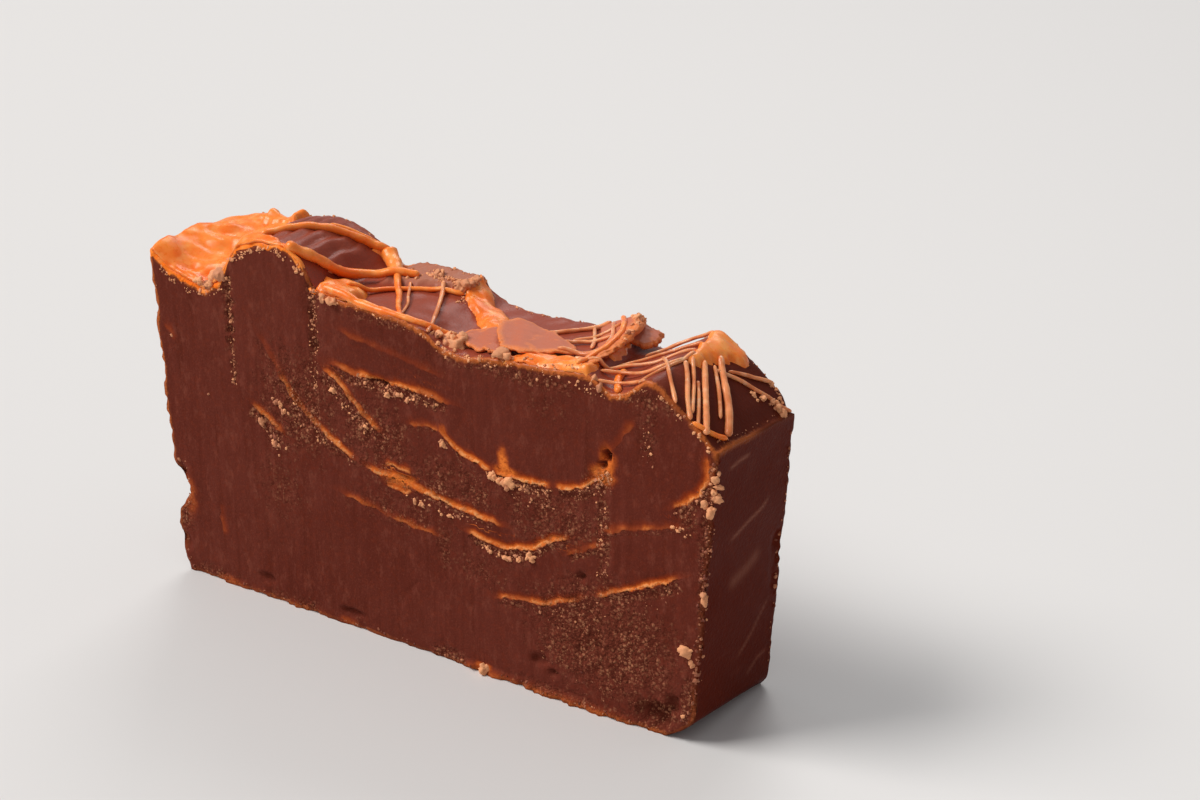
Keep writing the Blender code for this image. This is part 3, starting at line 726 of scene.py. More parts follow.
class Dressing:
    """Small helpers that make a mesh and finish it as a piece of the slice."""

    @staticmethod
    def cut_cube(size: float, counts: Sequence[int]) -> BMesh:
        """Cut a cube into cells.

        Args:
            size: The length of its sides.
            counts: How many cells there are along x, y and z.

        Returns:
            The cut cube.
        """
        bm = bmesh.new()
        bmesh.ops.create_cube(bm, size=size)
        for axis, count in enumerate(counts):
            spans = {e: abs((e.verts[1].co - e.verts[0].co)[axis]) for e in bm.edges}
            edges = [e for e, length in spans.items() if length > 0.6 * size]
            bmesh.ops.subdivide_edges(bm, edges=edges, cuts=count - 1, use_grid_fill=True)
        return bm

    @staticmethod
    def sweep(bm: BMesh, sides: int, stations: int, place: Callable[[Ring, int], None]) -> None:
        """Sweep a closed tube by extruding its ring from station to station.

        Args:
            bm: The bmesh that takes the tube.
            sides: The number of points of its ring.
            stations: The number of its last station, counted from 0.
            place: Moves a ring's points to their places at a station.
        """
        made = bmesh.ops.create_circle(bm, cap_ends=True, segments=sides, radius=1.0)
        ring = list(made["verts"])
        edges = list(dict.fromkeys(e for v in ring for e in v.link_edges))
        place(ring, 0)
        for station in range(1, stations + 1):
            grown = bmesh.ops.extrude_edge_only(bm, edges=edges)["geom"]
            fresh = {v for v in grown if isinstance(v, bmesh.types.BMVert)}
            links = ([e.other_vert(v) for e in v.link_edges] for v in ring)
            ring = [next(v for v in linked if v in fresh) for linked in links]
            edges = [e for e in grown if isinstance(e, bmesh.types.BMEdge)]
            edges = [e for e in edges if e.verts[0] in fresh and e.verts[1] in fresh]
            place(ring, station)
        bmesh.ops.contextual_create(bm, geom=edges)

    @staticmethod
    def join(parts: Iterable[BMesh], name: str) -> Mesh:
        """Join closed parts in one mesh, with the faces of each outwards.

        Args:
            parts: The parts, in millimetres, which are freed.
            name: The mesh's name.

        Returns:
            The mesh.
        """
        whole = bmesh.new()
        for part in parts:
            bmesh.ops.recalc_face_normals(part, faces=part.faces)
            mesh = Dressing.mesh_of(part, name)
            whole.from_mesh(mesh)
            bpy.data.meshes.remove(mesh)
        return Dressing.mesh_of(whole, name)

    @staticmethod
    def piece(mesh: Mesh, name: str, material: Material, slot: Slot) -> Piece:
        """Make a mesh in millimetres a piece that rides on the slice.

        Args:
            mesh: The finished mesh.
            name: The piece's name.
            material: Its finish.
            slot: The record's slot that the finish stands for; not used.

        Returns:
            The piece.
        """
        mesh.transform(Matrix.Scale(MM, 4))
        mesh.materials.append(material)
        mesh.update()
        item = placed(name, mesh)
        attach(item, "root")
        LOG.info("%s: %d faces", name, len(mesh.polygons))
        return item

    @staticmethod
    def mesh_of(bm: BMesh, name: str, smooth: bool | None = True) -> Mesh:
        """Turn a bmesh into a mesh and free it.

        Args:
            bm: The bmesh, in millimetres.
            name: The mesh's name.
            smooth: Whether its faces are shaded smooth, or None where each has its own setting.

        Returns:
            The mesh.
        """
        for face in bm.faces if smooth is not None else ():
            face.smooth = smooth
        mesh = bpy.data.meshes.new(name)
        bm.to_mesh(mesh)
        bm.free()
        return mesh

    @staticmethod
    def read_points(mesh: Mesh) -> Array:
        """Read a mesh's points.

        Args:
            mesh: The mesh.

        Returns:
            One row x, y, z for each point.
        """
        flat = np.empty(len(mesh.vertices) * 3, np.float32)
        mesh.vertices.foreach_get("co", flat)
        return flat.reshape(-1, 3).astype(float)

    @staticmethod
    def write_points(mesh: Mesh, points: Array) -> None:
        """Move a mesh's points to new places."""
        mesh.vertices.foreach_set("co", points.astype(np.float32).ravel())
        mesh.update()

    @staticmethod
    def write_mask(mesh: Mesh, name: str, values: Array) -> None:
        """Store one number for each point under a name that materials read."""
        mask = mesh.attributes.new(name, "FLOAT", "POINT")
        mask.data.foreach_set("value", np.asarray(values, np.float32))


@dataclass
class BlockPoints:
    """The block's points, with the faces that they lie on.

    Attributes:
        x: Places along the slice, in mm.
        y: Places through the thickness.
        z: Heights.
        top_z: The height of the top above each point.
        edge: The distance to the nearest edge of the same face.
        cuts: Which points are on each cut.
        lid: Which points are on the top.
        ends: Which points are on an end.
    """

    x: Array
    y: Array
    z: Array
    top_z: Array
    edge: Array
    cuts: dict[Cut, Array]
    lid: Array
    ends: Array


@dataclass
class FudgeBlock:
    """The block of fudge: a finely cut cube whose points go to their place in the slice."""

    form: SliceForm
    finish: Material
    column_width: float = 0.53
    layers: int = 38
    rows: int = 134
    inner_edge: float = 99.0
    coat_limit: float = 6.0

    def column_shares(self) -> Array:
        """Work out where the columns stand among the folds.

        Returns:
            For each column a fold's number plus the share of the way to the next fold.
        """
        shares: list[float] = []
        folds = self.form.folds
        for number in range(len(folds) - 1):
            width = folds[number + 1].front_x - folds[number].front_x
            steps = max(1, math.ceil(width / self.column_width))
            shares += [number + step / steps for step in range(steps)]
        return np.array(shares + [len(folds) - 1.0])

    def raw_mesh(self, columns: int) -> Mesh:
        """Cut a unit cube into columns, layers and rows.

        Args:
            columns: The number of columns along the slice.

        Returns:
            The cut cube, with its bottom as one face.
        """
        bm = Dressing.cut_cube(1.0, (columns, self.layers, self.rows))
        bottom = [f for f in bm.faces if all(v.co.z < -0.4999 for v in f.verts)]
        bmesh.ops.dissolve_faces(bm, faces=bottom, use_verts=False)
        bmesh.ops.recalc_face_normals(bm, faces=bm.faces)
        mesh = Dressing.mesh_of(bm, "fudge_body")
        for face in mesh.polygons:
            face.use_smooth = len(face.vertices) <= 8
        return mesh

    def points(self, mesh: Mesh, shares: Array) -> BlockPoints:
        """Work out where the points of the cut cube go.

        Args:
            mesh: The cut cube.
            shares: Where the columns stand among the folds.

        Returns:
            The points in the slice.
        """
        form = self.form
        lattice = Dressing.read_points(mesh) + 0.5
        column = shares[np.rint(lattice[:, 0] * (len(shares) - 1)).astype(int)]
        layer = np.rint(lattice[:, 1] * self.layers) / self.layers
        row = np.rint(lattice[:, 2] * self.rows) / self.rows

        y = (layer - 0.5) * form.thickness
        stations, _ = form.fold_table(y)
        number = np.minimum(column.astype(int), len(form.folds) - 2)
        each = np.arange(len(y))
        here, there = stations[each, number], stations[each, number + 1]
        top_x = here + (there - here) * (column - number)
        top_z = form.top(top_x, y)
        z = top_z * row
        share = (top_x - form.folds[0].front_x) / (form.folds[-1].front_x - form.folds[0].front_x)
        left, right = form.left_edge(y, z), form.right_edge(y, z)
        x = left + (right - left) * share

        cuts = {Cut.FRONT: layer == 0, Cut.BACK: layer == 1}
        lid, ends = row == 1, (share <= 0) | (share >= 1)
        across, up = np.minimum(x - left, right - x), np.minimum(top_z - z, z)
        through = np.minimum(y + form.half, form.half - y)
        edge = np.where(ends, np.minimum(up, through), self.inner_edge)
        edge = np.where(lid, np.minimum(across, through), edge)
        edge = np.where(cuts[Cut.FRONT] | cuts[Cut.BACK], np.minimum(across, up), edge)
        return BlockPoints(x, y, z, top_z, edge, cuts, lid, ends)

    def foot_lip(self, side: Cut, x: Array, z: Array) -> Array:
        """Return how far a cut's flaky foot stands out of the face.

        Args:
            side: The cut.
            x: Places along the slice.
            z: Heights.

        Returns:
            The distances in mm.
        """
        u, grain = x if side is Cut.FRONT else -x, self.form.grain
        flaky = 0.55 + 0.6 * grain.at(u * 0.35, 0.0, 81.0) + 0.35 * grain.at(u * 1.1, z, 82.0)
        here = span(4, 14, 50, 55, u) + 0.5 * span(-56, -48, -30, -18, u)
        return 0.95 * here * np.maximum(flaky, 0.0) * (1 - ease(0.7, 2.0, z))

    def carve_cuts(self, points: BlockPoints, masks: dict[str, Array]) -> Array:
        """Carve the cut faces and fill in their masks.

        Args:
            points: The block's points.
            masks: The masks of the cut faces.

        Returns:
            The new places through the thickness.
        """
        carved = points.y.copy()
        for side, chosen in points.cuts.items():
            x, z = points.x[chosen], points.z[chosen]
            marks = CutFace(side).marks(x, z)
            lip = self.foot_lip(side, x, z)
            marks.glow = np.maximum(marks.glow, np.clip(0.55 * lip, 0, 0.45))
            for name in masks:
                masks[name][chosen] = getattr(marks, name)
            worn = 0.32 + self.form.grain.plane(x, z, (0.3, 0.9, 51.0))
            rounding = worn * (1 - ease(0.0, 1.1, points.edge[chosen])) ** 2
            carved[chosen] -= side.value * (np.maximum(marks.recess, 0.0) + rounding - lip)
        return carved

    def whole_masks(self, points: BlockPoints) -> dict[str, Array]:
        """Work out the masks that aren't of the cut faces alone.

        Args:
            points: The block's points.

        Returns:
            The masks by name.
        """
        form, lid, ends = self.form, points.lid, points.ends
        x, y, z, below = points.x, points.y, points.z, points.top_z - points.z
        cut_coat = form.coat_depth(x, np.clip(y, 0.3 - form.half, form.half - 0.3))
        band = 0.75 + 0.6 * form.grain.at(x * 0.6, z * 0.4, 61.0)
        coat = np.where(lid, form.coat_depth(x, y), np.minimum(cut_coat, band - below))
        rim = 1 - ease(0.0, 3.0, below)
        tint = 0.35 + form.grain.plane(x, z, (0.25, 0.15, 63.0))
        tint += 0.55 * (1 - ease(-63.5, -61.0, x))
        tint += rim * (0.4 * (1 - ease(-46, -42, x)) + 0.25 * (1 - ease(-30, -22, x)))
        tint += 0.5 * (1 - ease(1.5, 4.5, below)) * span(-24, -18, 46, 58, x)
        right = ease(58.5, 61.5, x + 1.2 * np.maximum(0.0, 5.0 - z))
        tint *= 1 - 0.65 * right
        tint += 0.55 * right * (1 - ease(-4.0, 3.0, y)) * (1 - ease(0.6, 2.2, below))
        scratch = np.zeros(len(x))
        across = np.where(x > 0, y, -y)
        for item in SCRATCHES:
            far, share = item.measure(across[ends], z[ends])
            line = item.strength * span(0.0, 0.2, 0.8, 1.0, share) * hill(far, 0.35 + item.reach)
            scratch[ends] = np.maximum(scratch[ends], line)
        return {
            "scratch": scratch,
            "coat": np.clip(coat, -self.coat_limit, self.coat_limit),
            "edge": np.clip(points.edge, 0, 8),
            "tint": np.clip(tint * (1 - 0.45 * ease(-2.0, 6.0, y)), 0, 1),
            "lid": lid,
            "side": ends & ~lid,
            # Share of the top painted as lit; it falls to 0 on the right facet, which keeps the
            # painted-shade lid colour
            "pale": np.where(lid, 1 - ease(45.0, 57.0, x), 0.0),
            "ledge": np.where(lid, form.ledge_share(x, y), 0.0),
        }

    def build(self) -> Piece:
        """Build the block with its relief and its masks.

        Returns:
            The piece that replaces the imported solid.
        """
        shares = self.column_shares()
        mesh = self.raw_mesh(len(shares) - 1)
        points = self.points(mesh, shares)
        masks = {name: np.zeros(len(points.x)) for name in ("vein", "crumble", "glow", "seam")}
        masks["seam"] += CutFace.seam_reach
        y = self.carve_cuts(points, masks)
        for name, values in (masks | self.whole_masks(points)).items():
            Dressing.write_mask(mesh, name, values)
        Dressing.write_points(mesh, np.column_stack((points.x, y, points.z)))
        item = Dressing.piece(mesh, "fudge_body", self.finish, Slot.FUDGE)
        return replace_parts(item, NODE)


class Ground:
    """Finished pieces as the ground that more toppings stand on."""

    ENDS = (-64.0, 63.6)
    RIM = 0.7
    OUTSIDE = 120.0
    BEFORE_CUT = 60.0
    NO_HIT_HEIGHT = 60.0
    NO_HIT_END = 62.0

    def __init__(self, pieces: Sequence[Piece], form: SliceForm) -> None:
        """Make the search tree of the pieces.

        Args:
            pieces: The finished pieces.
            form: The form of the slice.
        """
        points: list[Vector] = []
        faces: list[tuple[int, ...]] = []
        for piece in pieces:
            first = len(points)
            points += [Vector(p) for p in Dressing.read_points(piece.data) / MM]
            faces += [tuple(first + v for v in f.vertices) for f in piece.data.polygons]
        self.tree = BVHTree.FromPolygons(points, faces)
        self.form = form

    def hit(self, start: Sequence[float], heading: Sequence[float]) -> Vector | None:
        """Return the first point of the ground on a ray, or None."""
        return self.tree.ray_cast(Vector(start), Vector(heading))[0]

    def height(self, x: float, y: float) -> float:
        """Measure the height of the ground, held off the rims.

        Args:
            x: The place along the slice.
            y: The place through the thickness.

        Returns:
            The height.
        """
        reach = self.form.half - self.RIM
        x, y = min(max(x, self.ENDS[0]), self.ENDS[1]), min(max(y, -reach), reach)
        hit = self.hit((x, y, self.OUTSIDE), (0, 0, -1))
        return hit.z if hit else self.NO_HIT_HEIGHT

    def face_y(self, x: float, z: float, side: Cut) -> float:
        """Return y on a cut face at a place along the slice and a height."""
        hit = self.hit((x, side.value * self.BEFORE_CUT, z), (0, -side.value, 0))
        return hit.y if hit else side.value * self.form.half

    def end_x(self, y: float, z: float, sign: float) -> float:
        """Return x on an end face at a place through the thickness and a height."""
        hit = self.hit((sign * self.OUTSIDE, y, z), (-sign, 0, 0))
        return hit.x if hit else sign * self.NO_HIT_END


@dataclass(frozen=True)
class Thread:
    """A thread of icing.

    Attributes:
        route: Its points x, y in the plan.
        start_radius: Its radius at the first point, in mm.
        end_radius: Its radius at the last point, in mm.
        taut: How much it spans the hollows that it crosses, from 0 to 1.
        lift: How high its middle stands above the ground, in radii.
    """

    route: tuple[Point, ...]
    start_radius: float
    end_radius: float
    taut: float = 0.0
    lift: float = 0.45

    def radii(self, shares: Array) -> Array:
        """Return the radius at each share of the length."""
        return self.start_radius + (self.end_radius - self.start_radius) * shares


ROPES = rows(
    Thread,
    (((-39.5, -8.5), (-37.6, -3.5), (-34.8, 1.5), (-31.5, 6), (-28.5, 9.5), (-25.6, 12.4)),
     0.8, 0.95),
    (((-35.5, 6.4), (-31.8, 9), (-29, 11), (-26.4, 12.6)), 0.4, 0.5),
    (((-29.5, -12.6), (-26.6, -8.5), (-24.5, -3.5), (-22, 1.5), (-18, 4.5), (-14, 6.8)),
     1.25, 0.75, 0.3),
    (((-26, 12.2), (-21.5, 9), (-17.6, 4.6)), 1.7, 1.0, 0.2, 0.3),
    (((-17.6, 4.6), (-14.6, 1), (-12, -1.8), (-8, -7), (-4, -11.3)), 0.75, 0.4, 0.4),
    (((-21.5, -12.3), (-14, -12.3), (-8, -12.2), (-3, -11.6), (0.5, -10.4), (4.4, -7)),
     1.0, 0.7, 0.1, 0.25),
    (((-19.3, -8), (-17.3, -5.2), (-15.5, -0.8), (-12.5, 2.4), (-8.5, 4.6), (-3.2, 6.3)),
     0.5, 0.55, 0.3),
    (((28.2, 12.4), (31.3, 8), (33.6, 3.5), (34.8, -2.5), (34.6, -7.5), (35, -12)), 0.5, 0.6, 0.1),
    (((39.5, -4), (41.0, -8.3), (43.9, -12.6)), 0.6, 0.7, 0.2),
    (((58.6, -12.6), (60.4, -11.8), (61.9, -10.2), (62.9, -8.2)), 0.5, 0.55),
)
THREADS = rows(
    Thread,
    (((-25.5, -6), (-25.2, -1), (-24.6, 4.6), (-23.4, 8.6), (-21.5, 10.6), (-19.6, 12.6)),
     0.45, 0.4),
    (((-14, 4), (-10.5, -1), (-7.5, -5), (-4.5, -10.6)), 0.38, 0.32, 0.5, 0.8),
    (((-8, 6.4), (-5.5, 2.5), (-2.5, -2.5), (0.8, -8.2), (2.6, -12)), 0.5, 0.42, 0.4, 0.7),
    (((17.5, 2), (20.5, 5.5), (23, 9), (25.5, 12.6)), 0.5, 0.6, 0.2, 0.5),
    (((24.8, -1.3), (26.8, 1), (29, 2), (31.8, 3.6)), 0.5, 0.45, 0.3),
    (((24.4, 1.8), (27, 4.6), (29.6, 6.8), (31, 9)), 0.4, 0.45, 0.3),
    (((23.6, 10.0), (26.2, 6.2), (28.8, 2.4), (31.0, -1.8)), 0.42, 0.45, 0.3, 0.9),
    (((27.6, 10.2), (30.2, 6.2), (32.6, 2.4), (34.4, -2.0)), 0.42, 0.48, 0.3, 0.8),
    (((27, -6.4), (30.2, -5.2), (33.4, -4.8), (35.2, -4.4)), 0.5, 0.7, 0.2),
    (((32.6, -9.2), (35.4, -8.4), (37.6, -6.8), (38.4, -4.2)), 0.5, 0.45, 0.2),
    (((37.4, -3.5), (40, -0.4), (43, 2.4), (46.5, 4), (49.6, 5)), 0.42, 0.48, 0.85),
    (((37.6, -6.5), (40, -3.6), (44, -1.8), (47.6, 0.2), (50, 2.6)), 0.4, 0.45, 0.85),
    (((37.8, -9), (41, -6.9), (45, -7), (49, -6.3), (50.4, -2)), 0.45, 0.5, 0.55),
    (((39.3, -12.4), (42, -10.7), (45.5, -10.8), (49.2, -12.4)), 0.42, 0.4, 0.4),
    (((38, 4.5), (40, 9), (43.5, 11), (48.5, 10.5)), 0.4, 0.45, 0.5),
    (((44.3, 0.7), (47.4, -3.4), (49.6, -6.2), (51.7, -8.8), (55.6, -12.9)), 0.42, 0.45, 0.2, 0.6),
    (((50.8, -2.5), (53, -5.3), (56, -9.9), (58.5, -12.9)), 0.48, 0.52, 0.2, 0.6),
    (((51.4, -1.1), (54.3, -5.3), (58.0, -11.6)), 0.42, 0.38, 0.2, 1.0),
    (((54.2, -3.9), (56.6, -7.4), (59.8, -12.7)), 0.38, 0.42, 0.2, 0.6),
    (((53.4, 2.7), (57.2, -1.9), (60.6, -6.8)), 0.4, 0.4, 0.2, 0.7),
    (((53.8, 1.7), (57.6, 5.3), (60.5, 8.3), (63.4, 12.4)), 0.45, 0.5, 0.2, 0.5),
    (((55.2, 4.3), (57.4, 8.5), (59.4, 12.7)), 0.45, 0.5, 0.2, 0.5),
    (((47.8, -12.4), (49.6, -8.2), (50.3, -3.8), (50.8, 0.6)), 0.4, 0.42, 0.1, 0.4),
    (((52.6, 0.8), (55.5, -3.6), (58.7, -8.4), (61.3, -12.4)), 0.62, 0.68, 0.2, 0.6),
    (((53.2, 5), (56.3, 1.2), (59.8, -3), (62.8, -7.8)), 0.72, 0.82, 0.2, 0.6),
)


@dataclass
class Drizzle:
    """Threads of icing, swept along their routes as closed tubes."""

    ground: Ground
    finish: Material
    threads: tuple[Thread, ...]
    name: str
    scale: float = 1.0
    sides: int = 10
    step: float = 0.45
    grain: Grain = field(default_factory=lambda: Grain(37))

    def centre_line(self, thread: Thread) -> Array:
        """Return the points of a thread's middle line.

        Args:
            thread: The thread.

        Returns:
            One row x, y, z for each station.
        """
        route = Polyline(thread.route)
        length = np.hypot(*np.diff(route.points, axis=0).T).sum()
        count = max(6, round(length / self.step))
        shares = np.linspace(0, 1, count + 1)
        plan = np.array([route.along(s) for s in shares])
        ground = np.array([self.ground.height(x, y) for x, y in plan])
        chord = ground[0] + (ground[-1] - ground[0]) * shares - 0.6 * 4 * shares * (1 - shares)
        height = ground + thread.taut * np.maximum(0.0, chord - ground)
        kernel = np.hanning(11)[1:-1]
        reach = len(kernel) // 2
        padded = np.concatenate((height[:1].repeat(reach), height, height[-1:].repeat(reach)))
        smooth = np.convolve(padded, kernel / kernel.sum(), "valid")
        middle = np.maximum(smooth, ground - 0.35) + thread.lift * thread.radii(shares)
        return np.column_stack((plan, middle))

    def tube(self, thread: Thread, number: int) -> BMesh:
        """Model one thread.

        Args:
            thread: The thread.
            number: The thread's number, which seeds its lumps.

        Returns:
            The thread's bmesh.
        """
        line = self.centre_line(thread)
        heading = np.gradient(line, axis=0)
        heading /= np.linalg.norm(heading, axis=1)[:, None]
        aside = np.cross(heading, np.array([0.0, 0.0, 1.0]))
        aside /= np.linalg.norm(aside, axis=1)[:, None]
        upward = np.cross(aside, heading)
        shares = np.linspace(0, 1, len(line))
        lumps = self.grain.at(shares * len(line) * 0.3, number * 7.0, 0.0)
        lumps += 0.5 * self.grain.at(shares * len(line) * 0.75, number * 7.0, 3.0)
        tips = np.clip(np.minimum(shares, 1 - shares) * len(line) / 2.2, 0, 1) + 0.02
        radii = self.scale * thread.radii(shares) * (1 + 0.11 * lumps) * np.sqrt(tips)

        def place(ring: Ring, station: int) -> None:
            """Move a ring's points round the middle line.

            Args:
                ring: The points.
                station: The place on the middle line.
            """
            for index, vert in enumerate(ring):
                turn = math.tau * index / self.sides
                across = aside[station] * math.cos(turn)
                across = across + upward[station] * math.sin(turn) * 0.88
                vert.co = Vector(line[station] + across * radii[station])

        bm = bmesh.new()
        Dressing.sweep(bm, self.sides, len(line) - 1, place)
        return bm

    def build(self) -> Piece:
        """Build all the threads and return them as one piece."""
        tubes = (self.tube(thread, number) for number, thread in enumerate(self.threads))
        return Dressing.piece(Dressing.join(tubes, self.name), self.name, self.finish, Slot.ICING)


@dataclass(frozen=True)
class Spill:
    """Icing that ran together: its outline in the plan, height, rim width and waviness in mm."""

    outline: tuple[Point, ...]
    height: float
    rim: float
    waves: float = 0.1


SPILLS = rows(
    Spill,
    (((-23, -12.9), (-24.3, -7.4), (-24.2, -3.7), (-21.8, -2.6), (-17.4, -4.8), (-14.9, -8.6),
      (-14.8, -12.9)), 1.9, 2.6, 0.12),
    (((-3.7, 12.2), (-3.2, 6.6), (-1.3, 4.3), (1.6, 3.3), (6.1, -1), (9.5, -0.8), (11.4, 2.0),
      (4.7, 8.0), (1.3, 9.4), (-1.2, 12.6)), 1.2, 1.6, 0.25),
    (((20.4, -12.6), (21, -10.6), (24, -9.0), (27.5, -7.2), (33.3, -8.0), (35.6, -11),
      (34.8, -12.9)), 1.0, 1.2, 0.5),
    (((49.4, -2.2), (50.2, 0), (49.8, 2.9), (49.2, 6.6), (47.7, 11.0), (48.2, 12.9), (52.3, 12.6),
      (54.5, 12.6), (55.4, 11.2), (55.3, 8.7), (53.3, 5.6), (53.1, 3.1), (52.5, -0.8), (51, -1.6)),
     1.05, 0.9, 0.2),
    (((-56.0, 8.6), (-52, 8.2), (-46.8, 9.0), (-45.8, 12.9), (-55.4, 12.9)), 2.3, 1.5, 0.25),
    (COAT_OUTLINE, 0.75, 1.3, 0.3),
    (((-27.2, 9.6), (-24.2, 10.6), (-20.6, 8.6), (-19.2, 9.8), (-22.6, 12.9), (-27.2, 12.9)),
     0.9, 1.2, 0.2),
    (((31.4, 6.2), (33.2, 3.0), (34.2, -3), (35.8, -3), (35.4, 3), (33.6, 7.4)), 0.7, 0.9, 0.3),
    (((33.8, -12.9), (34.2, -8.6), (36.6, -8.0), (38.2, -10.2), (38.0, -12.9)), 1.0, 1.1, 0.4),
)


@dataclass
class IcingSheet:
    """The pools and coats of icing as one sheet that dips under the fudge outside them."""

    ground: Ground
    finish: Material
    pitch: float = 0.36
    sink: float = 0.7
    thickness: float = 0.5
    margin: float = 0.35
    ends: Point = (-64.2, 63.4)
    sorting: tuple[float, float, float] = (1.0, 0.0137, 0.00071)
    grain: Grain = field(default_factory=lambda: Grain(53))

    def rise(self, x: Array, y: Array) -> Array:
        """Return how far the icing stands above the fudge, negative where there is none.

        Args:
            x: Places along the slice.
            y: Places through the thickness.

        Returns:
            The rise in mm.
        """
        rise = np.full(x.shape, -self.sink)
        wobble = self.grain.plane(x, y, (0.5, 0.5, 0.0), (0.25, 1.3, 4.0))
        for number, spill in enumerate(SPILLS):
            deep = inside_outline(spill.outline, x, y) + wobble
            share = np.clip(deep / spill.rim, 0.0, 1.0)
            dome = spill.height * np.sqrt(1 - (1 - share) ** 2)
            folds = self.grain.at(x * 0.4 + y * 0.15, y * 0.7 - x * 0.1, 10.0 + number)
            dome *= 1 + spill.waves * folds
            outside = np.clip(deep, -0.5, 0.0) / 0.5 * self.sink
            rise = np.maximum(rise, np.where(deep > 0, dome, outside))
        return rise

    def build(self) -> Piece:
        """Build the sheet.

        Returns:
            The piece.
        """
        half = self.ground.form.half - self.margin
        low, high = self.ends
        columns, rows = round((high - low) / self.pitch), round(2 * half / self.pitch)
        bm = bmesh.new()
        bmesh.ops.create_grid(bm, x_segments=columns, y_segments=rows, size=0.5)
        mesh = Dressing.mesh_of(bm, "icing_sheet")
        lattice = Dressing.read_points(mesh)
        x = low + (lattice[:, 0] + 0.5) * (high - low)
        y = lattice[:, 1] * 2 * half
        rise = self.rise(x, y)
        near = half - np.abs(y)
        worn = 0.5 + 0.5 * self.grain.at(x * 0.9, y, 71.0)
        rise = np.where(rise > 0, rise * (1 - 0.75 * worn * (1 - ease(0.0, 0.9, near))), rise)
        ground = np.array([self.ground.height(a, b) for a, b in zip(x, y)])
        Dressing.write_points(mesh, np.column_stack((x, y, ground + rise)))
        bm = bmesh.new()
        bm.from_mesh(mesh)
        bpy.data.meshes.remove(mesh)
        bm.verts.ensure_lookup_table()
        buried = [f for f in bm.faces if all(rise[v.index] <= -self.sink + 0.01 for v in f.verts)]
        bmesh.ops.delete(bm, geom=buried, context="FACES")
        bmesh.ops.solidify(bm, geom=bm.faces[:], thickness=self.thickness)
        bmesh.ops.recalc_face_normals(bm, faces=bm.faces)
        order = Vector(self.sorting)
        bm.faces.sort(key=lambda f: order.dot(f.calc_center_median()))
        mesh = Dressing.mesh_of(bm, "icing_sheet")
        return Dressing.piece(mesh, "icing_sheet", self.finish, Slot.ICING)


@dataclass(frozen=True)
class FlakeShape:
    """A thin flake that broke off the top.

    Attributes:
        outline: Its corners x, y in the plan.
        thickness: Its thickness in mm.
        lift: How high its middle stands above the ground.
        slope: How much it rises along x and y, in mm for each mm.
    """

    outline: tuple[Point, ...]
    thickness: float
    lift: float
    slope: Point = (0.0, 0.0)


FLAKES = rows(
    FlakeShape,
    (((5.9, -7.6), (5.4, -3.7), (7.5, -0.6), (10.4, 0.8), (13.4, -2.6), (15.4, -7.2), (13.4, -10.6),
      (9.4, -9.6)), 0.75, 0.75, (0.03, 0.0)),
    (((11.9, -3.6), (9.8, 0.7), (11.2, 3.6), (15.4, 3.0), (22.4, 0.2), (28.0, -2.6), (30.4, -6.0),
      (26, -8.2), (22, -11), (17.6, -10.4)), 0.8, 1.35, (0.0, -0.05)),
    (((13.6, -10.9), (18.2, -12.2), (20.2, -10.6), (17.6, -8.4), (14.4, -8.6)), 0.7, 0.7),
    (((33.4, 5.4), (36.4, 6.4), (37.8, 9.2), (36.8, 12.4), (32.8, 12.6), (32.6, 8.2)),
     1.3, 2.1, (-0.3, 0.05)),
)


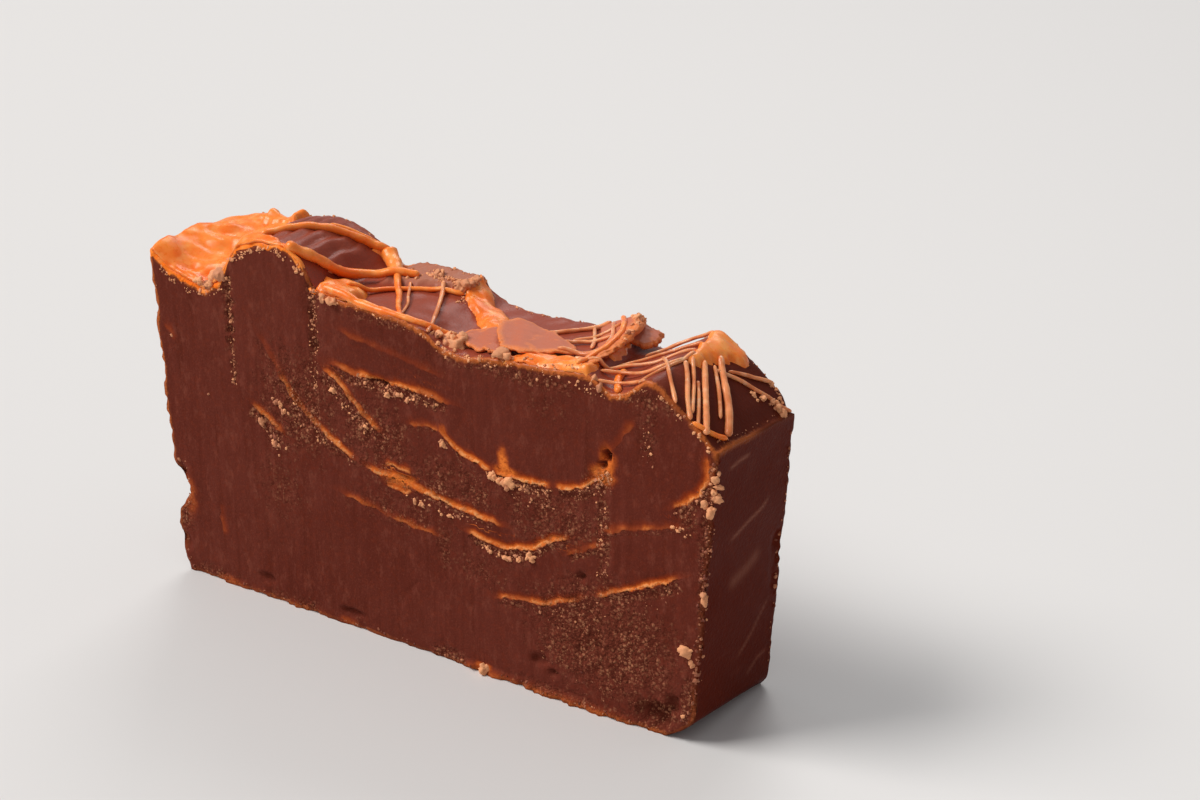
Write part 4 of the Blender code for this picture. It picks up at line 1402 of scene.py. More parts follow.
@dataclass
class Flakes:
    """The flakes that broke off the top, as thin wavy plates with torn edges."""

    ground: Ground
    finish: Material
    cuts: int = 36
    grain: Grain = field(default_factory=lambda: Grain(67))

    @staticmethod
    def reach(outline: Sequence[Point], middle: Point, heading: float) -> float:
        """Return how far an outline is from a point inside it.

        Args:
            outline: The outline's corners in turn.
            middle: The point inside it.
            heading: The direction in radians.

        Returns:
            The distance to the outline in that direction.
        """
        dx, dy = math.cos(heading), math.sin(heading)
        best = FAR_AWAY
        for (x0, y0), (x1, y1) in zip(outline, (*outline[1:], outline[0])):
            ex, ey = x1 - x0, y1 - y0
            turn = dx * ey - dy * ex
            if abs(turn) < 1e-9:
                continue
            rx, ry = x0 - middle[0], y0 - middle[1]
            far, share = (rx * ey - ry * ex) / turn, (rx * dy - ry * dx) / turn
            if far > 0 and 0 <= share <= 1:
                best = min(best, far)
        return best

    def plate(self, shape: FlakeShape, number: int) -> BMesh:
        """Model one flake.

        Args:
            shape: The flake's outline and thickness.
            number: Its number, which seeds its torn edge.

        Returns:
            The flake's bmesh.
        """
        bm = Dressing.cut_cube(2.0, (self.cuts, self.cuts, 2))
        layer = bm.verts.layers.float.new("torn")
        middle = tuple(sum(c) / len(shape.outline) for c in zip(*shape.outline))
        base = self.ground.height(*middle) + shape.lift
        half = self.ground.form.half - 0.3
        for vert in bm.verts:
            heading = math.atan2(vert.co.y, vert.co.x)
            share = max(abs(vert.co.x), abs(vert.co.y))
            far = self.reach(shape.outline, middle, heading)
            torn = float(self.grain.at(heading * 3.5, number * 5.0, 1.0))
            torn += 0.6 * float(self.grain.at(heading * 9.0, number * 5.0, 2.0))
            far = (far + 0.35 * torn * ease(0.6, 1.0, share)) * share
            x, y = middle[0] + far * math.cos(heading), middle[1] + far * math.sin(heading)
            y = max(-half, min(half, y))
            z = base + shape.slope[0] * (x - middle[0]) + shape.slope[1] * (y - middle[1])
            z += 0.14 * math.sin(0.9 * x + 0.6 * y)
            z += float(self.grain.plane(x, y, (0.08, 0.8, number + 40.0)))
            z = max(z, self.ground.height(x, y) + 0.45)
            thin = 1.0 - 0.5 * float(ease(0.85, 1.0, share))
            vert[layer] = float(ease(0.78, 1.0, share))
            vert.co = Vector((x, y, z + shape.thickness / 2 * thin * vert.co.z))
        return bm

    def build(self) -> Piece:
        """Build all the flakes and return them as one piece."""
        plates = (self.plate(shape, number) for number, shape in enumerate(FLAKES))
        return Dressing.piece(Dressing.join(plates, "flakes"), "flakes", self.finish, Slot.FUDGE)


@dataclass
class Curl:
    """The curl that breaks to the right like a wave: its section swept along its spine."""

    ground: Ground
    finish: Material
    spine: tuple[tuple[float, float, float], ...] = (
        (30.0, 12.7, 1.00),
        (31.2, 9.5, 1.15),
        (33.0, 5.0, 0.95),
        (34.2, 0.5, 0.75),
        (34.9, -4.0, 0.55),
        (35.3, -8.5, 0.45),
        (35.6, -11.8, 0.35),
    )
    section: tuple[Point, ...] = (
        (-5.0, -0.5),
        (-2.4, 0.8),
        (-0.2, 1.9),
        (1.4, 2.6),
        (2.7, 2.4),
        (3.1, 1.6),
        (2.0, 0.9),
        (1.1, 0.2),
        (0.6, -1.6),
        (-3.5, -1.8),
    )
    stations: int = 64
    sides: int = 48
    grain: Grain = field(default_factory=lambda: Grain(79))

    def build(self) -> Piece:
        """Build the curl.

        Returns:
            The piece.
        """
        outline = Polyline((*self.section, self.section[0]))
        ring_shape = [outline.along(i / self.sides) for i in range(self.sides)]
        line = Polyline(self.spine)
        bm = bmesh.new()
        layer = bm.verts.layers.float.new("torn")

        def place(ring: Ring, station: int) -> None:
            """Move a ring's points to their places round the spine.

            Args:
                ring: The points.
                station: The place on the spine.
            """
            x, y, scale = line.along(station / self.stations)
            base = self.ground.height(x, y)
            for vert, (across, up) in zip(ring, ring_shape):
                torn = float(self.grain.at(y * 0.9, across * 0.8, up * 0.8))
                fine = 0.08 * float(self.grain.at(y * 2.2, across * 2.0, up * 2.0))
                tip = max(0.0, (across + up) / 5.0)
                vert[layer] = float(ease(0.55, 0.95, tip))
                lean = 0.15 * math.sin(1.7 * y + across) + 0.6 * tip * torn + fine
                rise = up * (scale if up > 0 else 1.0) + 0.35 * tip * torn + fine
                vert.co = (x + across * scale + lean, y, base + rise)

        Dressing.sweep(bm, self.sides, self.stations, place)
        mesh = Dressing.join([bm], "curl")
        return Dressing.piece(mesh, "curl", self.finish, Slot.FUDGE)


class Where(Enum):
    """The face of the slice that a strip of crumbs lies on."""

    FRONT = "front"
    BACK = "back"
    TOP = "top"
    RIGHT = "right"
    LEFT = "left"


CUT_OF = {Where.FRONT: Cut.FRONT, Where.BACK: Cut.BACK}


@dataclass(frozen=True)
class Strip:
    """Crumbs along a line of a face.

    Attributes:
        route: Points of that face: x, z on a cut, x, y on the top, y, z on an end.
        spread: How far they stray from the line, in mm.
        count: How many there are.
        tone: 0 for dark fudge, 1 for pale orange crumbs.
        smallest: The smallest radius, in mm.
        largest: The largest radius, in mm.
    """

    route: tuple[Point, ...]
    spread: float
    count: int
    tone: float
    smallest: float = 0.2
    largest: float = 0.5


CRUMB_STRIPS = {
    Where.FRONT: rows(
        Strip,
        (((-44.5, 66), (-44.4, 58), (-44.5, 44)), 0.55, 150, 0.75),
        (((-23.2, 68), (-23.5, 61), (-23.6, 48)), 0.8, 150, 0.7),
        (((-14, 52.6), (-8, 51.9), (4, 52.4)), 0.9, 50, 0.7),
        (((-21, 51), (-15.5, 46.5), (-10, 43.2)), 1.2, 45, 0.6),
        (((-31, 46), (-26, 41.6), (-15, 35.4)), 1.3, 55, 0.6),
        (((-38.5, 39.6), (-35, 36.4), (-33, 33.6)), 1.6, 35, 0.55),
        (((5, 31.6), (11, 30.8), (17, 30.4)), 0.7, 26, 0.6, 0.2, 0.42),
        (((16.5, 41.0), (23, 40.4), (30, 41.0)), 0.9, 50, 0.85, 0.25, 0.6),
        (((21, 38.6), (26, 37.6), (30, 38.4)), 1.2, 24, 0.6),
        (((37.5, 43.8), (40.6, 45.6), (42.6, 48.4)), 1.2, 40, 0.75, 0.2, 0.6),
        (((16, 26.6), (21, 26), (29, 29)), 0.9, 30, 0.7, 0.2, 0.55),
        (((30, 16.5), (41, 21.5), (54, 28)), 2.4, 60, 0.55),
        (((56.5, 44), (59.6, 46), (61.4, 49.6)), 1.4, 34, 0.65),
        (((6, 62.4), (18, 62.6), (30, 63.4), (41, 62.4)), 0.8, 90, 1.0),
        (((-21, 66.2), (-10, 66.3), (3, 64.4)), 0.5, 50, 1.0, 0.15, 0.45),
        (((44, 62.8), (50, 65.2), (57, 61.8), (62.6, 57.4)), 0.7, 60, 0.95, 0.15, 0.5),
        (((-42.6, 69.6), (-38, 72.6), (-32, 73.8), (-26, 71)), 0.7, 90, 1.0, 0.25, 0.8),
        (((-62, 64.4), (-54, 61.2), (-46.4, 63.0)), 0.6, 60, 1.0, 0.25, 0.6),
        (((63.2, 54.5), (62.5, 46), (61.9, 36), (61.2, 24), (60.6, 14)), 0.4, 60, 0.6, 0.2, 0.6),
        (((-63.6, 62), (-63.6, 45), (-63.4, 30)), 0.35, 40, 0.7, 0.15, 0.4),
        (((-60, 24), (-59.4, 18), (-61, 9), (-60, 2)), 0.8, 45, 0.5, 0.2, 0.6),
        (((-59, 0.9), (-20, 0.8), (20, 0.9), (53, 0.9)), 0.5, 150, 0.35, 0.2, 0.55),
        (((28, 6), (40, 4.6), (56, 5.4)), 2.2, 40, 0.4),
        (((16.2, 41.2), (20, 40.5), (23.8, 40.4)), 0.5, 34, 1.0, 0.5, 1.3),
        (((5.8, 44.9), (7.2, 43.9)), 0.4, 12, 0.95, 0.4, 1.0),
        (((-7, 52.0), (-1, 51.5), (5, 51.8)), 0.6, 24, 0.9, 0.4, 1.0),
        (((14.5, 26.6), (20, 25.8), (26, 27.6)), 0.6, 34, 0.9, 0.4, 1.1),
        (((-4, 32.4), (4, 31.0), (10, 30.6)), 0.5, 20, 0.9, 0.4, 0.9),
        (((56.2, 41.6), (58.4, 40.6)), 0.6, 14, 0.9, 0.3, 0.8),
        (((-34, 43.4), (-30, 40.8), (-22, 37.6)), 0.7, 34, 0.85, 0.4, 0.9),
        (((-20, 49.4), (-16, 45.6), (-12, 42.6)), 0.8, 24, 0.8, 0.4, 0.9),
        (((-39, 38.6), (-36, 35.8), (-34, 33.0)), 0.9, 20, 0.8, 0.4, 0.9),
        (((41, 46), (40.8, 38), (41.4, 28)), 1.2, 50, 0.75),
        (((50, 58), (50.8, 52)), 1.1, 26, 0.7, 0.15, 0.45),
        (((63.2, 55), (62.5, 46), (61.9, 36), (61.2, 24), (60.4, 12), (58, 4)),
         0.6, 130, 0.35, 0.25, 0.75),
    ),
    Where.BACK: rows(
        Strip,
        (((-58, 0.9), (0, 0.8), (56, 0.9)), 0.5, 120, 0.35, 0.2, 0.55),
        (((-60, 65), (-40, 69), (-20, 64), (10, 61), (40, 61), (60, 57.5)),
         0.7, 160, 0.75, 0.2, 0.55),
        (((-25, 37), (-12, 41), (4, 38), (18, 45)), 1.6, 90, 0.6),
        (((-50, 26), (-30, 19), (-14, 16)), 2.0, 60, 0.5),
    ),
    Where.TOP: rows(
        Strip,
        (((-18, 6), (-12, 7.4), (-4, 8.6)), 1.6, 60, 1.0, 0.25, 0.7),
        (((3.0, -10.8), (4.4, -7.4), (6.8, -9.6)), 1.3, 44, 0.95, 0.6, 1.6),
        (((5, -12.2), (18, -12.2), (36, -12.2)), 0.5, 60, 1.0, 0.25, 0.6),
        (((-53, -12.6), (-50, -12.4), (-46, -12.2)), 0.6, 30, 1.0, 0.4, 1.0),
        (((-50.5, -12.4), (-48, -12), (-46.2, -11.2), (-45.6, -9)), 1.0, 34, 0.9, 0.8, 1.8),
        (((-6, 7), (-3.8, 7.5), (-3, 9.5)), 1.0, 30, 0.9, 0.6, 1.4),
        (((-12.5, 8.4), (-8.5, 8.4), (-5, 8.4)), 1.5, 80, 0.9, 0.35, 1.0),
        (((58.5, 11.8), (61, 12.2), (62.8, 11)), 0.6, 46, 0.95, 0.25, 0.7),
        (((59.6, 6.4), (61.6, 9.0), (62.8, 10.6)), 0.7, 18, 0.9, 0.5, 1.2),
        (((32.0, 12), (34.2, 8), (35.6, 2)), 0.8, 40, 0.95, 0.3, 0.8),
        (((-60, 12.4), (-20, 12.4), (20, 12.4), (60, 12.4)), 0.5, 80, 0.95),
        (((62.6, -11), (62.8, 0), (62.8, 11)), 0.35, 40, 0.6, 0.15, 0.4),
        (((-3.2, 3.4), (-2.2, 4.6), (-3.4, 6.4)), 0.7, 22, 0.85),
    ),
    Where.RIGHT: rows(
        Strip,
        (((12.2, 52), (12.4, 36), (12.2, 20), (12.3, 6)), 0.5, 60, 0.45, 0.2, 0.55),
        (((-12.2, 54), (-12.4, 40), (-12.3, 24), (-12.2, 12)), 0.4, 50, 0.6),
    ),
    Where.LEFT: rows(
        Strip,
        (((-12.2, 60), (-12, 40), (-12, 20), (-12, 4)), 0.6, 60, 0.6),
        (((12.2, 60), (12.2, 30), (12.2, 4)), 0.6, 60, 0.5),
    ),
}
LARGE_CRUMBS = (
    (58.4, -12.8, 18.3, 1.0, 0.95),
    (59.6, -12.9, 16.4, 0.6, 0.85),
    (61.9, -12.8, 29.2, 0.75, 0.9),
    (61.7, -12.9, 30.3, 0.6, 0.8),
    (62.7, -12.8, 46.1, 0.95, 0.95),
    (61.8, -12.9, 47.2, 0.6, 0.9),
    (63.8, -12.5, 48.8, 0.6, 0.9),
    (63.3, -12.8, 49.8, 0.6, 1.0),
    (63.9, -12.5, 50.9, 0.6, 0.9),
    (63.4, -12.8, 52.2, 0.6, 1.0),
    (64.0, -12.5, 53.4, 0.56, 0.85),
    (-60.2, -13.0, 50.9, 0.5, 0.8),
    (-51.4, -13.1, 40.6, 0.45, 0.6),
    (19.1, -12.0, 64.6, 1.1, 0.8),
    (20.6, -12.4, 64.4, 0.7, 0.9),
    (-20.9, -12.8, 66.6, 0.9, 0.85),
    (-18.6, -12.9, 66.6, 0.7, 0.9),
    (38.8, -12.4, 64.2, 0.8, 0.8),
    (40.2, -12.6, 63.2, 0.7, 0.7),
    (14.6, -13.0, 1.0, 1.0, 1.0),
)


@dataclass
class Crumbs:
    """Loose and clinging crumbs, as dented balls of few faces."""

    ground: Ground
    finish: Material
    seed: int = 5
    large: float = 0.55
    share: float = 0.8
    scale: float = 0.72
    sink: float = 0.4
    dents: tuple[float, float] = (0.5, 0.32)
    tone_spread: float = 0.18
    grain: Grain = field(default_factory=lambda: Grain(97))

    def add(
        self,
        bm: BMesh,
        place: Vector,
        radius: float,
        tone: float,
        draw: np.random.Generator,
    ) -> None:
        """Add one crumb.

        Args:
            bm: The bmesh that takes it.
            place: Its middle.
            radius: Its radius in mm.
            tone: Its tone, from 0 to 1.
            draw: The random numbers.
        """
        detail = 3 if radius > self.large else 1
        angle = draw.uniform(0, math.tau)
        turn = Matrix.Rotation(angle, 4, Vector(draw.normal(size=3)).normalized())
        size = Matrix.Diagonal((*draw.uniform(0.55, 1.45, 3), 1.0))
        placing = Matrix.Translation(place) @ turn @ size
        made = bmesh.ops.create_icosphere(bm, subdivisions=detail, radius=radius, matrix=placing)
        layer = bm.verts.layers.float["tone"]
        start = draw.uniform(0, 100)
        across = np.array([v.co - place for v in made["verts"]]) / radius
        if detail == 1:
            factors = draw.uniform(0.65, 1.25, len(across))
        else:
            x, y, z = across.T
            factors = 1 + self.dents[0] * self.grain.at(x * 1.3 + start, y * 1.3, z * 1.3)
            factors += self.dents[1] * self.grain.at(x * 3.1 + start, y * 3.1 + 7, z * 3.1)
        for vert, factor in zip(made["verts"], factors):
            vert.co = place + (vert.co - place) * factor
            vert.co.z = max(vert.co.z, 0.0)
            vert[layer] = tone
            for face in vert.link_faces:
                face.smooth = detail > 1

    def spot(self, where: Where, a: float, b: float) -> Vector:
        """Find the place on a face for two coordinates of that face.

        Args:
            where: The face.
            a: The first coordinate.
            b: The second coordinate.

        Returns:
            The place, held on the slice.
        """
        ground, half = self.ground, self.ground.form.half
        if where is Where.TOP:
            a, b = min(max(a, -63.6), 63.2), min(max(b, 0.6 - half), half - 0.6)
            return Vector((a, b, ground.height(a, b)))
        if where in CUT_OF:
            side = CUT_OF[where]
            near = side.value * (half - 1.0)
            b = min(b, ground.height(a, near) - 0.3)
            a = min(max(a, ground.end_x(near, b, -1.0) + 0.3), ground.end_x(near, b, 1.0) - 0.3)
            return Vector((a, ground.face_y(a, b, side), b))
        sign = 1.0 if where is Where.RIGHT else -1.0
        a = min(max(a, 0.7 - half), half - 0.7)
        b = min(b, ground.height(sign * 62.5, a) - 0.8)
        return Vector((ground.end_x(a, b, sign), a, b))

    def strew(self, bm: BMesh, where: Where, strip: Strip, draw: np.random.Generator) -> None:
        """Strew the crumbs of one strip.

        Args:
            bm: The bmesh that takes them.
            where: The face that they lie on.
            strip: The strip.
            draw: The random numbers.
        """
        line = Polyline(strip.route)
        for _ in range(round(strip.count * self.share)):
            a, b = line.along(draw.uniform(0, 1)) + draw.normal(0, strip.spread * 0.6, 2)
            radius = strip.smallest + (strip.largest - strip.smallest) * draw.uniform(0, 1) ** 2.2
            radius *= self.scale
            place = self.spot(where, a, b)
            if where in CUT_OF:
                place.y -= math.copysign(self.sink * radius, place.y)
            place.z = max(radius * 0.9, place.z)
            tone = min(1.0, max(0.0, strip.tone + draw.normal(0, self.tone_spread)))
            self.add(bm, place, radius, tone, draw)

    def build(self) -> Piece:
        """Build all the crumbs as one piece.

        Returns:
            The piece.
        """
        draw = np.random.default_rng(self.seed)
        bm = bmesh.new()
        bm.verts.layers.float.new("tone")
        for where, strips in CRUMB_STRIPS.items():
            for strip in strips:
                self.strew(bm, where, strip, draw)
        for x, y, z, radius, tone in LARGE_CRUMBS:
            self.add(bm, Vector((x, y, z)), radius, tone, draw)
        bmesh.ops.recalc_face_normals(bm, faces=bm.faces)
        mesh = Dressing.mesh_of(bm, "crumbs", None)
        return Dressing.piece(mesh, "crumbs", self.finish, Slot.FUDGE)


def math_method(operation: str, reflected: bool = False) -> Callable[[Wire, Any], Wire]:
    """Make a method that joins a wire and another value by a Math node.

    Args:
        operation: The node's operation.
        reflected: Whether the wire is the second of the two.

    Returns:
        The method.
    """

    def method(self: Wire, other: Any) -> Wire:
        """Return the result of the operation."""
        return self.join(operation, *((other, self) if reflected else (self, other)))

    return method


class Wire:
    """A number socket that adds Math nodes when it is used in an expression."""

    def __init__(self, bench: Bench, socket: Link) -> None:
        """Wrap a socket of a bench's node tree."""
        self.bench = bench
        self.socket = socket

    def join(self, operation: str, *values: Any) -> Wire:
        """Add a Math node for an operation on values."""
        node = self.bench.node("ShaderNodeMath", {"operation": operation}, dict(enumerate(values)))
        return Wire(self.bench, node.outputs[0])

    __add__, __radd__ = math_method("ADD"), math_method("ADD", True)
    __sub__, __rsub__ = math_method("SUBTRACT"), math_method("SUBTRACT", True)
    __mul__, __rmul__ = math_method("MULTIPLY"), math_method("MULTIPLY", True)
    __pow__ = math_method("POWER")
    at_most = math_method("MINIMUM")
    at_least = math_method("MAXIMUM")

    def ramp(self, low: float, high: float) -> Wire:
        """Map the wire to 0 at low and 1 at high, smooth between.

        Args:
            low: The value that becomes 0, which may be the larger.
            high: The value that becomes 1.

        Returns:
            The mapped wire.
        """
        inputs = {"Value": self, "From Min": low, "From Max": high, "To Min": 0.0, "To Max": 1.0}
        node = self.bench.node("ShaderNodeMapRange", {"interpolation_type": "SMOOTHSTEP"}, inputs)
        return Wire(self.bench, node.outputs["Result"])


class Bench:
    """A material's node tree, with one method that makes every node."""

    MIX_COLOURS = (6, 7)

    def __init__(self, name: str) -> None:
        """Start an empty material.

        Args:
            name: The material's name.
        """
        self.material = bpy.data.materials.new(name)
        self.material.use_nodes = True
        self.tree = self.material.node_tree
        self.tree.nodes.clear()

    def node(self, kind: str, settings: dict[str, Any], inputs: dict[Any, Any]) -> bpy.types.Node:
        """Make a node.

        Args:
            kind: The node's type.
            settings: Its properties, which are set first.
            inputs: Values or links for its sockets, by name or number.

        Returns:
            The node.
        """
        made = self.tree.nodes.new(kind)
        for name, value in settings.items():
            if name == "stops":
                while len(made.color_ramp.elements) < len(value):
                    made.color_ramp.elements.new(0.5)
                for stop, (place, colour) in zip(made.color_ramp.elements, value):
                    stop.position, stop.color = place, (*colour, 1.0)
            else:
                setattr(made, name, value)
        for key, value in inputs.items():
            if isinstance(value, Wire):
                value = value.socket
            if isinstance(value, bpy.types.NodeSocket):
                self.tree.links.new(value, made.inputs[key])
            else:
                made.inputs[key].default_value = value
        return made

    def place(self, scale: Sequence[float] = (1.0, 1.0, 1.0), shift: float = 0.0) -> Link:
        """Make a link to the object's own coordinates in millimetres.

        Args:
            scale: Factors on the three axes.
            shift: An offset on the three axes, which makes a pattern another one.

        Returns:
            The link.
        """
        where = self.node("ShaderNodeTexCoord", {}, {})
        inputs = {
            "Vector": where.outputs["Object"],
            "Scale": tuple(s / MM for s in scale),
            "Location": (shift,) * 3,
        }
        return self.node("ShaderNodeMapping", {}, inputs).outputs["Vector"]

    def mask(self, name: str) -> Wire:
        """Return a number stored on the mesh's points."""
        settings = {"attribute_type": "GEOMETRY", "attribute_name": name}
        return Wire(self, self.node("ShaderNodeAttribute", settings, {}).outputs["Fac"])

    def noise(
        self,
        scale: float,
        detail: float = 3.0,
        roughness: float = 0.6,
        along: float = 1.0,
        up: float = 1.0,
        shift: float = 0.0,
    ) -> Wire:
        """Return noise between 0 and 1.

        Args:
            scale: Cells per millimetre.
            detail: Octaves of finer detail.
            roughness: How strong the finer octaves are.
            along: A factor on x, below 1 for a pattern drawn out along the slice.
            up: A factor on z, below 1 for a pattern drawn out upwards.
            shift: An offset that makes the pattern another one.

        Returns:
            The noise.
        """
        vector = self.place((along, 1.0, up), shift)
        inputs = {"Vector": vector, "Scale": scale, "Detail": detail, "Roughness": roughness}
        return Wire(self, self.node("ShaderNodeTexNoise", {}, inputs).outputs["Fac"])

    def crumbs(self, scale: float, shift: float) -> tuple[Wire, Wire]:
        """Divide the surface into uneven crumbs.

        Args:
            scale: Crumbs per millimetre.
            shift: An offset that makes the pattern another one.

        Returns:
            The distance to the middle of the crumb, and a random number of that crumb.
        """
        where = self.place(shift=shift)
        inputs = {"Vector": where, "Scale": 1.6 * scale, "Detail": 2.0}
        push = self.node("ShaderNodeTexNoise", {}, inputs)
        inputs = {0: push.outputs["Color"], 1: (0.5 / scale,) * 3, 2: where}
        moved = self.node("ShaderNodeVectorMath", {"operation": "MULTIPLY_ADD"}, inputs)
        inputs = {"Vector": moved.outputs[0], "Scale": scale}
        cell = self.node("ShaderNodeTexVoronoi", {"feature": "F1"}, inputs)
        pick = self.node("ShaderNodeSeparateColor", {}, {0: cell.outputs["Color"]})
        return Wire(self, cell.outputs["Distance"]), Wire(self, pick.outputs[0])

    def mix(self, share: Wire | float, first: Any, second: Any) -> Link:
        """Mix two colours.

        Args:
            share: The share of the second one.
            first: A colour or a link.
            second: A colour or a link.

        Returns:
            A link to the mixed colour.
        """
        values = [(*v, 1.0) if isinstance(v, tuple) else v for v in (first, second)]
        inputs = {"Factor": share, **dict(zip(self.MIX_COLOURS, values))}
        return self.node("ShaderNodeMix", {"data_type": "RGBA"}, inputs).outputs[2]

    def surface(self, colour: Any, roughness: Any, height: Wire, fixed: dict[str, Any]) -> Material:
        """Finish the material with one Principled shader.

        Args:
            colour: Its base colour.
            roughness: Its roughness.
            height: Its bump, in millimetres.
            fixed: Other sockets that are the same all over.

        Returns:
            The material.
        """
        bump = self.node("ShaderNodeBump", {}, {"Height": height, "Distance": MM, "Strength": 1.0})
        inputs = {"Base Color": colour, "Roughness": roughness, "Normal": bump.outputs["Normal"]}
        shader = self.node("ShaderNodeBsdfPrincipled", {}, inputs | fixed)
        self.node("ShaderNodeOutputMaterial", {}, {"Surface": shader.outputs["BSDF"]})
        return self.material


@dataclass
class Paint:
    """A colour that is painted over layer by layer."""

    bench: Bench
    colour: Any

    def over(self, colour: Any, share: Wire) -> None:
        """Paint a colour over a share of what is there."""
        self.colour = self.bench.mix(share, self.colour, colour)


@dataclass(frozen=True)
class IcingFinish:
    """Orange icing with a soft gloss, and pale blotches of painted highlight placed at random."""

    name: str = "orange_icing"
    deep: Colour = (0.90, 0.165, 0.012)
    bright: Colour = (0.96, 0.255, 0.038)
    # The pale tone is painted highlight
    pale: Colour = (0.97, 0.38, 0.105)
    roughness: float = 0.30
    subsurface: float = 0.2

    def colour(self, bench: Bench) -> Link:
        """Mottle the icing's colour, with painted highlight in its pale blotches.

        Args:
            bench: The bench of the material.

        Returns:
            A link to the colour.
        """
        broad = bench.noise(0.16, shift=3.0)
        fine = bench.noise(0.42, 2.0, 0.5, shift=8.0)
        base = bench.mix(broad.ramp(0.36, 0.62), self.deep, self.bright)
        # Pale blotches of painted highlight over the orange
        return bench.mix(fine.ramp(0.48, 0.74) * 0.65, base, self.pale)

    def height(self, bench: Bench) -> Wire:
        """Return the icing's bump in millimetres."""
        broad, fine = bench.noise(0.32, 2.0, 0.45, shift=1.0), bench.noise(2.6, 2.0, 0.5, shift=5.0)
        return broad * 0.12 + fine * 0.012

    def build(self) -> Material:
        """Build the material.

        Returns:
            The material.
        """
        bench = Bench(self.name)
        rough = bench.noise(1.2, 2.0, 0.5, shift=2.0) * 0.24 + (self.roughness - 0.12)
        fixed = {
            "Subsurface Weight": self.subsurface,
            "Subsurface Radius": (1.0, 0.35, 0.12),
            "Subsurface Scale": 0.0012,
            "IOR": 1.45,
            "Specular IOR Level": 0.5,
            "Specular Tint": (1.0, 0.85, 0.7, 1.0),
        }
        return bench.surface(self.colour(bench), rough, self.height(bench), fixed)


# The thin icing's pale tone is painted highlight as well
THIN_ICING = ("thin_icing", (0.62, 0.18, 0.06), (0.84, 0.32, 0.13), (0.92, 0.50, 0.28), 0.22)


